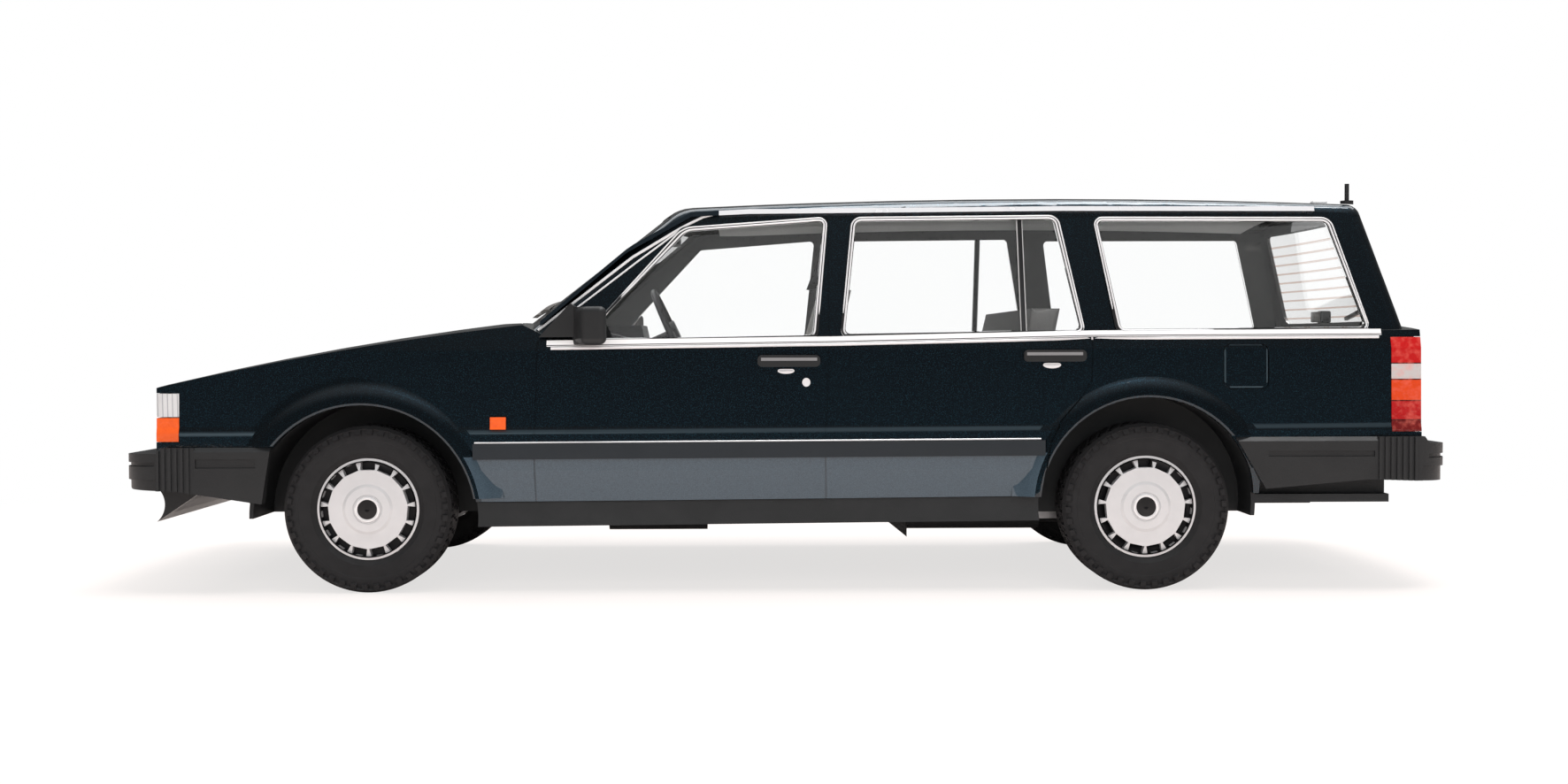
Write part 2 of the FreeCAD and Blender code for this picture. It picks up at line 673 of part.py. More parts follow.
def trimmed_ends():
    """What the casting leaves open under both bumpers."""
    front = box("front_trim", (nose(-0.2), nose(0.62)), ("-" + Places.sides, Places.sides), ("0", up(0.285)))
    rear = box("rear_trim", (tail(0.36), tail(1.2)), ("-" + Places.sides, Places.sides), ("0", Places.tray_high))
    return [front, rear]


def body_shell():
    """The zinc casting: hollow, with its openings cut and its shut lines engraved."""
    sides, screen, gate = all_windows("opening", "0")
    heads, clear, amber, rear = lamp_blocks("pocket", "0")
    holes = sides + [screen, gate, grille_block("grille_hole", "0")] + heads + clear + amber + rear
    holes += arches("arch_hole", "0") + trimmed_ends()
    blank = fuse("casting_blank", skin, swelling)
    hollow = cut("casting_hollow", blank, cavity)
    opened = cut("casting_open", hollow, fuse("casting_holes", *holes))
    node("body_shell", cut("casting", opened, shut_lines()))


def glazing():
    """Moulded clear panes, set just inside the skin in every opening."""
    sides, screen, gate = all_windows("pane", "-pane_gap")
    pane = shell("pane_skin", glass_face, glass_back)
    panes = common("side_panes", pane, fuse("side_pane_shapes", *sides))
    node("side_glass_left", half_of("side_glass_a", panes, -1))
    node("side_glass_right", half_of("side_glass_b", panes, 1))
    node("windscreen", common("screen_pane", pane, screen))
    node("tailgate_glass", common("gate_pane", pane, gate))


def lamps():
    """Clear and coloured lenses that continue the skin, with bowls behind the headlamps."""
    heads, clear, amber, rear = lamp_blocks("lens", "seat_gap")
    lens = shell("lens_skin", plain_lower, lower_form("lens_back", "glass_thickness"))
    for tag, block in zip(("left", "right"), heads):
        node("headlamp_" + tag, common("head_lens_" + tag, lens, block))
    for name, blocks in (("side_lamps", clear), ("front_indicators", amber)):
        node(name, common(name + "_lens", lens, fuse(name + "_blocks", *blocks)))
    for tag, block in zip(("left", "right"), rear):
        node("tail_lamp_" + tag, common("tail_lens_" + tag, lens, block))
    low, high = headlamp_shares
    bowls, bowl_room = [], lower_form("bowl_room", "(wall + 2 * seat_gap)")
    for tag, sign in (("left", "-"), ("right", "")):
        middle = sign + "(%s * body_half_width)" % ((low + high) / 2)
        ends = [sign + "(%s * body_half_width)" % share for share in ((high, low) if sign else (low, high))]
        back = box("bowl_block_" + tag, (nose(0.185), nose(0.28)), ends,
                   (lamp_foot + " + seat_gap", lamp_head + " - seat_gap"))
        dish = doc.addObject("Part::Sphere", "bowl_dish_" + tag)
        dish.setExpression("Radius", bound("bowl_radius"))
        dish.setExpression("Placement.Base.x", bound("%s - bowl_radius" % nose(0.265)))
        dish.setExpression("Placement.Base.y", bound(middle))
        dish.setExpression("Placement.Base.z", bound("(%s + %s) / 2" % (lamp_foot, lamp_head)))
        bowls.append(cut("bowl_" + tag, common("bowl_blank_" + tag, back, bowl_room), dish))
    node("headlamp_bowls", group("bowls", *bowls))


def grille():
    """A framed grille of upright slats that follows the bowed nose."""
    bar = shell("grille_skin", lower_form("grille_face", "-grille_height"), lower_form("grille_back", "wall"))
    blank = common("grille_blank", bar, grille_block("grille_shape", "seat_gap"))
    slots = []
    pitch = "(2 * (%s * body_half_width - seat_gap - grille_rim) / %d)" % (grille_share, GRILLE_SLOTS)
    for index in range(GRILLE_SLOTS):
        low = "-(%s * body_half_width - seat_gap - grille_rim) + %d * %s" % (grille_share, index, pitch)
        slots.append(box("grille_slot_%d" % index, (nose(-0.2), nose(0.3)),
                         (low + " + slat_width / 2", "%s + %s - slat_width / 2" % (low, pitch)),
                         (lamp_foot + " + grille_rim", lamp_head + " - grille_rim")))
    node("grille", cut("grille_bars", blank, fuse("grille_slots", *slots)))


# Bumpers: side outlines, front one from the arch forwards, rear one from the arch backwards.
front_bumper_shares = [
    (0.634, 0.363), (0.210, 0.363), (0.190, 0.350), (0.040, 0.347), (-0.02, 0.330), (-0.02, 0.280),
    (0.06, 0.259), (0.260, 0.2566), (0.598, 0.224),
]
rear_bumper_shares = [
    (0.277, 0.3815), (0.880, 0.3815), (0.895, 0.366), (0.975, 0.362), (1.02, 0.345), (1.02, 0.300),
    (0.960, 0.270), (0.700, 0.2766), (0.372, 0.254),
]


def bumper_plan(name, end, inset):
    """The plan of a bumper with its turned corners, drawn in by an inset."""
    sign, back = (1, nose(0.66)) if end == "front" else (-1, tail(0.2))
    half = "(bumper_half_width - %s)" % inset
    tip = "(%d * overall_length / 2 + %d * %s)" % (-sign, sign, inset)
    bow, turn = "%d * bumper_bow" % sign, "%d * bumper_corner" % sign
    wide, inside = "(%s - bumper_corner)" % half, "(%s - 0.3 * bumper_corner)" % half
    return prism(name, "plan", [
        ("%s + %s" % (tip, bow), "-" + wide), (tip, "0", "via"), ("%s + %s" % (tip, bow), wide),
        ("%s + %s + 0.3 * %s" % (tip, bow, turn), inside, "via"),
        ("%s + %s + %s" % (tip, bow, turn), half), (back, half), (back, "-" + half),
        ("%s + %s + %s" % (tip, bow, turn), "-" + half),
        ("%s + %s + 0.3 * %s" % (tip, bow, turn), "-" + inside, "via"),
    ], "0", "overall_height")


# Panels on each bumper: sunk ones as corners in side view, and where the first of its ribs stands.
sunk_panel_shares = {
    "front": [[(0.340, 0.313), (0.340, 0.335), (0.575, 0.335), (0.575, 0.313)],
              [(-0.2, 0.312), (-0.2, 0.322), (0.178, 0.328), (0.178, 0.318)],
              [(-0.2, 0.200), (-0.2, 0.280), (0.182, 0.285), (0.182, 0.200)]],
    "rear": [[(0.381, 0.333), (0.381, 0.347), (0.717, 0.347), (0.717, 0.333)],
             [(0.895, 0.328), (0.895, 0.338), (1.2, 0.336), (1.2, 0.326)],
             [(0.872, 0.200), (0.872, 0.309), (1.2, 0.300), (1.2, 0.200)]],
}
rib_starts = {"front": (nose(0.188), 6), "rear": (tail(0.729), 7)}
bevel_places = {"front": (nose(0.335), nose(0.70), up(0.363)), "rear": (tail(0.20), tail(0.727), up(0.3815))}


def bumper(end, shares):
    """A moulded bumper wrapped round one end from arch to arch, ribbed at its corners."""
    name, at = "bumper_" + end, (nose if end == "front" else tail)
    side = prism(name + "_side", "side", [(at(x), up(z)) for x, z in shares], "-" + Places.sides, Places.sides)
    plan, sunk = bumper_plan(name + "_plan", end, "0"), bumper_plan(name + "_sunk", end, "groove_depth")
    panels = [prism("%s_panel_%d" % (name, index), "side", [(at(x), up(z)) for x, z in corners],
                    "-" + Places.sides, Places.sides)
              for index, corners in enumerate(sunk_panel_shares[end])]
    first, count = rib_starts[end]
    bars = []
    for index in range(count):
        foot = "%s + %d * rib_pitch" % (first, index)
        bars.append(box("%s_rib_%d" % (name, index), (foot, foot + " + rib_width"),
                        ("-" + Places.sides, Places.sides), ("0", "overall_height")))
    proud = bumper_plan(name + "_proud", end, "-rib_height")
    ribs = common(name + "_ribs", fuse(name + "_bars", *bars), proud, side)
    solid = cut(name + "_form", common(name + "_blank", side, plan),
                common(name + "_recesses", fuse(name + "_panels", *panels),
                       cut(name + "_rind", plan, sunk)))
    core = box(name + "_core", (nose(0.30), tail(0.30)),
               ("-(bumper_half_width - 2 * wall)", "bumper_half_width - 2 * wall"), ("0", up(0.245)))
    low, high, top = bevel_places[end]
    bevels = []
    for tag, sign in (("left", "-"), ("right", "")):
        near, far = ["%s(bumper_half_width %s bumper_bevel)" % (sign, way) for way in "-+"]
        bevels.append(prism("%s_bevel_%s" % (name, tag), "front", [
            (near, top), (far, top), (far, top + " - 2 * bumper_bevel")], low, high))
    return cut(name, fuse(name + "_ribbed", solid, ribs),
               fuse(name + "_room", lower_form(name + "_seat", "-seat_gap"), core, *bevels))


def nose_room(name, inset, back):
    """What lies behind the bowed nose, drawn in by an inset."""
    return prism(name, "plan", bowed("(%s + %s)" % (nose(0.04), inset), "+ nose_bow",
                                     "(0.93 * body_half_width - %s)" % inset, back), "0", "overall_height")


def front_spoiler():
    """A lip under the front bumper, hollowed from behind, with wedge-shaped ends."""
    reach = "0.77 * body_half_width"

    def wedge(name, back, half):
        return prism(name, "side", [
            (nose(0.114) + back, up(0.169)), (nose(0.146) + back, up(0.215), "via"),
            (nose(0.118) + back, up(0.2545)), (nose(0.300) + back, up(0.2545)),
            (nose(0.268) + back, up(0.234)),
        ], "-(%s)" % half, half)
    hollow = wedge("spoiler_hollow", " + wall", reach + " - wall")
    node("front_spoiler", cut("spoiler", wedge("spoiler_wedge", "", reach), hollow))


def bumpers():
    """Both bumpers and the lip under the front one."""
    node("front_bumper", bumper("front", front_bumper_shares))
    node("rear_bumper", bumper("rear", rear_bumper_shares))
    front_spoiler()


def base_plate():
    """The moulded chassis plate: floor, sills and wheel wells, screwed up into the casting."""
    under = [(nose(0.17), up(0.262)), (nose(0.46), up(0.262)), (nose(0.66), up(0.214)),
             (cabin(-0.03), "floor_height"), (cabin(1.02), "floor_height"),
             (tail(0.12), Places.tray_low), (tail(0.79), Places.tray_low)]
    floor = prism("floor_slab", "side", under + [(x, z + " + floor_thickness") for x, z in reversed(under)],
                  "-(0.90 * body_half_width)", "0.90 * body_half_width")
    tray = cut("tray", box("tray_block", (tail(0.37), tail(0.79)),
                           ("-(0.84 * body_half_width)", "0.84 * body_half_width"),
                           (Places.tray_low, Places.tray_high + " - seat_gap")),
               box("tray_room", (tail(0.37) + " + well_wall", tail(0.79) + " - well_wall"),
                   ("-(0.84 * body_half_width - well_wall)", "0.84 * body_half_width - well_wall"),
                   (Places.tray_low + " + floor_thickness", Places.tray_high)))
    sill = prism("sill_slab", "side", [
        (cabin(0.12), up(0.163)), (cabin(0.89), up(0.175)), (cabin(0.89), up(0.2345)),
        (cabin(0.12), up(0.2235)),
    ], "-(0.945 * body_half_width)", "0.945 * body_half_width")
    trough = box("sill_trough", (cabin(0.10), cabin(0.92)), ("-(0.87 * body_half_width)", "0.87 * body_half_width"),
                 ("0", "overall_height"))
    wells = fuse("well_blanks", *arches("well", "well_wall", "well_wall"))
    upper = box("well_foot", ("-overall_length", "overall_length"),
                ("-(0.90 * body_half_width)", "0.90 * body_half_width"),
                ("floor_height", up(0.250)))
    hollow = fuse("well_hollows", *arches("well_hollow", "seat_gap"))
    bosses = [rod("boss_" + tag, "z", "3 * screw_radius", "floor_height", "floor_height + boss_height",
                  (place, "0")) for tag, place in (("front", cabin(0.09)), ("rear", tail(0.40)))]
    screws = [rod("screw_" + tag, "z", "screw_radius", "floor_height", "floor_height + screw_depth",
                  (place, "0")) for tag, place in (("front", cabin(0.09)), ("rear", tail(0.40)))]
    room = fuse("well_room", upper, lower_form("well_seat", "(wall + 2 * seat_gap)"))
    walls = common("well_walls", wells, room)
    floor = common("floor", floor, nose_room("floor_room", "(wall + seat_gap)", "overall_length / 2"))
    solid = fuse("plate_solid", floor, tray, cut("sills", sill, trough), walls, *bosses)
    axle_gap = box("axle_gap", (cabin(1) + " - beam_width", cabin(1) + " + beam_width"),
                   ("-" + Places.wheel_centre, Places.wheel_centre), ("0", "tyre_radius + beam_width"))
    node("base_plate", cut("plate", solid, fuse("plate_holes", hollow, axle_gap, *screws)))


def exhaust():
    """Pipe, two silencers and a heat shield fin moulded as one, under the floor and over the axle."""
    lane, level = "-(0.36 * body_half_width)", "(floor_height - silencer_radius - seat_gap)"
    high = "(%s - pipe_radius - 2 * seat_gap)" % Places.tray_low
    bend, foot = tail(0.10), tail(0.30)
    pipe = rod("under_pipe", "x", "pipe_radius", cabin(0.24), bend, (lane, level))
    rise = doc.addObject("Part::Extrusion", "rising_pipe")
    rise.Base = outline("rising_pipe_outline", "front", [
        (lane + " - pipe_radius", level), (lane, level + " + pipe_radius", "via"),
        (lane + " + pipe_radius", level), (lane, level + " - pipe_radius", "via"),
    ], bend)
    rise.DirMode = "Custom"
    rise.Dir = Vector(1, 0, 1)
    rise.Solid = True
    run, climb = "(%s - %s)" % (foot, bend), "(%s - %s)" % (high, level)
    rise.setExpression("Dir.x", bound(run))
    rise.setExpression("Dir.z", bound(climb))
    rise.setExpression("LengthFwd", bound("sqrt(%s ^ 2 + %s ^ 2)" % (run, climb)))
    last = rod("tail_pipe", "x", "pipe_radius", foot, tail(0.655), (lane, high))
    front = rod("front_silencer", "x", "silencer_radius", cabin(0.295), cabin(0.430), (lane, level))
    rear = rod("rear_silencer", "x", "silencer_radius", cabin(0.705), cabin(0.887), (lane, level))
    fin = prism("shield_fin", "side", [(cabin(0.672), level), (cabin(0.705), up(0.1)), (cabin(0.705), level)],
                lane + " - pipe_radius", lane + " + pipe_radius")
    node("exhaust", fuse("exhaust_line", pipe, rise, last, front, rear, fin))


def interior():
    """The cabin moulding with its door cards, and all that stands in it."""
    outer = lower_form("tub_outer", "(wall + 2.5 * seat_gap)")
    inner = side_form("tub_inner", "(wall + tub_wall)")
    front, step, back = cabin(0.222), cabin(0.82), tail(0.80)
    low, deck, rim = "cabin_floor", up(0.455), up(0.612)
    shape = prism("tub_shape", "side", [
        (front, low), (step, low), (cabin(0.86), deck), (back, deck), (back, rim), (front, rim),
    ], "-" + Places.sides, Places.sides)
    hollow = prism("tub_hollow", "side", [
        (front + " + tub_wall", low + " + tub_wall"), (step + " - tub_wall", low + " + tub_wall"),
        (cabin(0.86) + " - tub_wall", deck + " + tub_wall"), (back + " - tub_wall", deck + " + tub_wall"),
        (back + " - tub_wall", "overall_height"), (front + " + tub_wall", "overall_height"),
    ], "-" + Places.sides, Places.sides)
    tub = cut("tub_walls", common("tub_blank", shape, outer), common("tub_room", hollow, inner))
    clear = fuse("tub_wells", *arches("tub_well", "2 * well_wall", "2 * well_wall"))
    sill_rooms = both_sides("sill_room", 0.868, 1.2, (cabin(0.10), cabin(0.92)),
                            ("0", up(0.2345) + " + 2 * seat_gap"))
    node("interior_tub", cut("tub", tub, fuse("tub_clearance", clear, *sill_rooms)))
    room = side_form("tub_lining", "(wall + tub_wall + 2 * seat_gap)")
    dash = prism("dash_shape", "side", [
        (front + " + tub_wall + seat_gap", up(0.50)), (front + " + tub_wall + seat_gap", up(0.622)),
        (cabin(0.31), up(0.640)), (cabin(0.345), up(0.622)), (cabin(0.340), up(0.56)), (cabin(0.30), up(0.44)),
    ], "-(0.88 * body_half_width)", "0.88 * body_half_width")
    hood = prism("dash_hood", "side", [
        (cabin(0.29), up(0.62)), (cabin(0.30), up(0.662)), (cabin(0.345), up(0.662)), (cabin(0.352), up(0.60)),
    ], "-(0.60 * body_half_width)", "-(0.22 * body_half_width)")
    node("dashboard", fuse("dash", common("dash_trim", dash, room), hood))
    seats()
    steering_wheel()
    face = upper_form("lining_face", "(wall + seat_gap)")
    back_face = upper_form("lining_back", "(wall + seat_gap + lining_thickness)")
    keep = box("lining_keep", (cabin(0.44), tail(0.62)), ("-(0.70 * body_half_width)", "0.70 * body_half_width"),
               (up(0.935), "2 * overall_height"))
    node("roof_lining", common("lining", shell("lining_skin", face, back_face), keep))
    mirror = box("rear_view", (cabin(0.372), cabin(0.388)),
                 ("-(0.115 * body_half_width)", "0.115 * body_half_width"),
                 (up(0.885), up(0.925)))
    stem = rod("rear_view_stem", "z", "mirror_stem_radius", up(0.92), up(0.940), (cabin(0.381), "0"))
    node("interior_mirror", fuse("interior_mirror_piece", mirror, stem))


seat_shares = [
    (0.400, 0.330), (0.405, 0.395), (0.520, 0.420), (0.545, 0.460), (0.590, 0.755), (0.625, 0.750),
    (0.585, 0.420), (0.570, 0.330),
]
headrest_shares = [(0.573, 0.772), (0.588, 0.850), (0.612, 0.846), (0.600, 0.768)]
bench_shares = [
    (0.705, 0.300), (0.700, 0.385), (0.800, 0.410), (0.830, 0.475), (0.858, 0.700), (0.895, 0.700),
    (0.872, 0.480), (0.845, 0.480), (0.815, 0.300),
]


def seats():
    """Two front seats on plinths, with headrests, and a rear bench."""
    for tag, sign in (("left", "-"), ("right", "")):
        ends = ["%s(%s * body_half_width)" % (sign, share) for share in ((0.70, 0.14) if sign else (0.14, 0.70))]
        form = prism("seat_form_" + tag, "side", [(cabin(x), up(z)) for x, z in seat_shares], *ends)
        soft = rounded("seat_soft_" + tag, form, "seat_round", lambda middle, edge: not upright(middle, edge))
        plinth = box("seat_plinth_" + tag, (cabin(0.42), cabin(0.56)),
                     ["%s(%s * body_half_width)" % (sign, share)
                      for share in ((0.64, 0.20) if sign else (0.20, 0.64))],
                     ("cabin_floor + tub_wall + seat_gap", up(0.34)))
        head = prism("headrest_form_" + tag, "side", [(cabin(x), up(z)) for x, z in headrest_shares],
                     *["%s(%s * body_half_width)" % (sign, share)
                       for share in ((0.56, 0.28) if sign else (0.28, 0.56))])
        post = rod("headrest_post_" + tag, "z", "mirror_stem_radius", up(0.735), up(0.80),
                   (cabin(0.597), sign + "(0.42 * body_half_width)"))
        node("front_seat_" + tag, fuse("front_seat_piece_" + tag, soft, plinth, head, post))
    form = prism("bench_form", "side", [(cabin(x), up(z)) for x, z in bench_shares],
                 "-(0.84 * body_half_width)", "0.84 * body_half_width")
    plinth = box("bench_plinth", (cabin(0.72), cabin(0.80)), ("-(0.7 * body_half_width)", "0.7 * body_half_width"),
                 ("cabin_floor + tub_wall + seat_gap", up(0.31)))
    soft = rounded("bench_soft", form, "seat_round", lambda middle, edge: not upright(middle, edge))
    node("rear_bench", fuse("bench_piece", soft, plinth))


def steering_wheel():
    """Rim, boss, spokes and column, on the left."""
    lane = "-(0.42 * body_half_width)"
    turn = FreeCAD.Rotation(Vector(0, 1, 0), WHEEL_SLOPE)
    rim = doc.addObject("Part::Torus", "wheel_rim")
    rim.setExpression("Radius1", bound("steering_wheel_radius"))
    rim.setExpression("Radius2", bound("steering_rim_radius"))
    boss = doc.addObject("Part::Cylinder", "wheel_boss")
    boss.setExpression("Radius", bound("0.3 * steering_wheel_radius"))
    boss.setExpression("Height", bound("2 * steering_rim_radius"))
    spoke = doc.addObject("Part::Box", "wheel_spoke")
    spoke.setExpression("Width", bound("2 * steering_wheel_radius - steering_rim_radius"))
    spoke.setExpression("Length", bound("2 * steering_rim_radius"))
    spoke.setExpression("Height", bound("steering_rim_radius"))
    column = doc.addObject("Part::Cylinder", "wheel_column")
    column.setExpression("Radius", bound("0.15 * steering_wheel_radius"))
    column.setExpression("Height", bound("0.5 * steering_wheel_radius"))
    column.Placement = FreeCAD.Placement(Vector(), FreeCAD.Rotation(Vector(1, 0, 0), 180))
    spoke.setExpression("Placement.Base.x", bound("-steering_rim_radius"))
    spoke.setExpression("Placement.Base.y", bound("-(2 * steering_wheel_radius - steering_rim_radius) / 2"))
    whole = fuse("steering_wheel_piece", rim, boss, spoke, column)
    whole.Placement = FreeCAD.Placement(Vector(), turn)
    for axis, text in (("x", cabin(0.385)), ("y", lane), ("z", up(0.635))):
        whole.setExpression("Placement.Base." + axis, bound(text))
    node("steering_wheel", whole)


# Bright trim: the drip rail runs up the screen pillar and along the roof, the belt below the windows.
rail_shares = [("cabin", 0.222, 0.660), ("cabin", 0.330, 0.841), ("cabin", 0.415, 0.934),
               ("cabin", 0.490, 0.941), ("cabin", 0.900, 0.947), ("tail", 0.575, 0.946)]
belt_shares = [("cabin", 0.232, 0.609), ("cabin", 0.60, 0.617), ("cabin", 0.93, 0.630), ("tail", 0.750, 0.632)]


def side_trim():
    """Window frames with the belt below them, and the drip rail above."""
    outer = [window("frame_outer_" + key, corners, "frame_width") for key, corners in window_shares.items()]
    inner = [window("frame_inner_" + key, corners, "0") for key, corners in window_shares.items()]
    belt_low = [(PLACES[region](place), up(high)) for region, place, high in belt_shares]
    belt = prism("belt_shape", "side", belt_low + [(x, z + " + belt_width") for x, z in reversed(belt_low)],
                 "-" + Places.sides, Places.sides)
    shapes = cut("frame_shapes", fuse("frame_blanks", belt, *outer), fuse("frame_holes", *inner))
    frames = common("frames", shell("trim_skin", trim_face, fuse("trim_seat", plain_lower, plain_upper)), shapes)
    rail = [(PLACES[region](place), up(high)) for region, place, high in rail_shares]
    rails = band("rails", rail + [(x, z + " + rail_width") for x, z in reversed(rail)], rail_face, plain_upper)
    for tag, side in (("left", -1), ("right", 1)):
        node("window_trim_" + tag, half_of("window_trim_half_" + tag, frames, side))
        node("drip_rail_" + tag, half_of("drip_rail_half_" + tag, rails, side))


strip_shares = [(0.138, 0.332), (0.868, 0.338)]
handle_shares = {"front": (0.501, 0.581, 0.572), "rear": (0.841, 0.921, 0.583)}


def side_fittings():
    """Rubbing strips, door handles and the amber repeaters on the front wings."""
    low = [(cabin(place), up(high)) for place, high in strip_shares]
    strips = cut("strips", band("long_strips", low + [(x, z + " + strip_width") for x, z in reversed(low)],
                                strip_face, plain_lower), swelling)
    for tag, side in (("left", -1), ("right", 1)):
        node("rub_strip_" + tag, half_of("rub_strip_half_" + tag, strips, side))
    grips = []
    for key, (front, back, level) in handle_shares.items():
        blank = prism("handle_shape_" + key, "side", [
            (cabin(front), up(level) + " - handle_width / 2"), (cabin(front), up(level) + " + handle_width / 2"),
            (cabin(back), up(level) + " + handle_width / 2"), (cabin(back), up(level) + " - handle_width / 2"),
        ], "-" + Places.sides, Places.sides)
        grips.append(rounded("handle_" + key, blank, "handle_width * 0.4", upright))
    skin_part = shell("handle_skin", handle_face, plain_lower)
    node("door_handles", common("handles", skin_part, fuse("handle_blanks", *grips)))
    lamp = prism("repeater_shape", "side", [
        (cabin(0.160), up(0.406)), (cabin(0.160), up(0.436)), (cabin(0.180), up(0.436)), (cabin(0.180), up(0.406)),
    ], "-" + Places.sides, Places.sides)
    node("side_repeaters", common("repeaters", shell("repeater_skin", strip_face, plain_lower), lamp))


def door_mirrors():
    """Mirror housings on the front corners of the doors."""
    plan = prism("mirror_plan", "plan", [
        (cabin(0.281), "-(1.13 * body_half_width)"), (cabin(0.268), "-(0.99 * body_half_width)"),
        (cabin(0.254), "-(0.93 * body_half_width)"), (cabin(0.292), "-(0.93 * body_half_width)"),
        (cabin(0.304), "-(0.99 * body_half_width)"), (cabin(0.314), "-(1.15 * body_half_width)"),
    ], up(0.614), up(0.706))
    soft = rounded("mirror_soft", plan, "mirror_round",
                   lambda middle, edge: middle.y < -value("0.99 * body_half_width"))
    foot = prism("mirror_foot", "side", [
        (cabin(0.222), up(0.632)), (cabin(0.262), up(0.715)),
        (cabin(0.275), up(0.700)), (cabin(0.275), up(0.632)),
    ], "-(0.985 * body_half_width)", "-(0.90 * body_half_width)")
    seat = body_cover("mirror_seat")
    left = cut("mirror_left_piece", fuse("mirror_blank", soft, foot), seat)
    node("door_mirror_left", left)
    node("door_mirror_right", mirrored("mirror_right_piece", left))


def body_cover(name):
    """The skin raised by the frames and a little more, that side pieces stand on."""
    rise = "-(trim_height + seat_gap)"
    return fuse(name, lower_form(name + "_lower", rise), upper_form(name + "_upper", rise))


def wipers():
    """Two windscreen wipers and one on the tailgate, lying on the glass."""
    base = up(0.688)
    front = []
    for index, (foot, reach) in enumerate(((-0.45, 0.02), (0.20, 0.68))):
        arm = [("%s * body_half_width" % foot, base), ("%s * body_half_width" % reach, up(0.72))]
        front.append(ribbon_wide("wiper_arm_%d" % index, arm, "wiper_width", cabin(0.0), cabin(0.6)))
        blade = [("%s * body_half_width" % (foot - 0.12), up(0.700)),
                 ("%s * body_half_width" % (reach + 0.10), up(0.735))]
        front.append(ribbon_wide("wiper_blade_%d" % index, blade, "wiper_width", cabin(0.0), cabin(0.6)))
    rear = ribbon_wide("rear_wiper", [("0", up(0.680)), ("-(0.55 * body_half_width)", up(0.72))],
                       "wiper_width", tail(0.3), tail(1.2))
    cover = shell("wiper_skin", upper_form("wiper_face", "-wiper_height"), upper_form("wiper_seat", "-seat_gap"))
    pieces = common("wiper_pieces", cover, fuse("wiper_shapes", rear, *front))
    node("wipers", cut("wiper_set", pieces, lower_form("wiper_cowl", "-seat_gap")))


def ribbon_wide(name, points, width, low, high):
    """A blade of a given width along a line seen from the front."""
    near = [(x, "%s - %s / 2" % (z, width)) for x, z in points]
    far = [(x, "%s + %s / 2" % (z, width)) for x, z in reversed(points)]
    return prism(name, "front", near + far, low, high)


def aerial():
    """A short rod on a round foot, on the left at the back of the roof."""
    at = (tail(0.700), "-(0.69 * body_half_width)")
    foot = rod("aerial_foot", "z", "aerial_foot_radius", up(0.952), up(0.975), at)
    stem = rod("aerial_stem", "z", "aerial_radius", up(0.96), up(1.018), at)
    blank = fuse("aerial_blank", foot, stem)
    node("aerial", cut("aerial_piece", blank, upper_form("aerial_seat", "-seat_gap")))


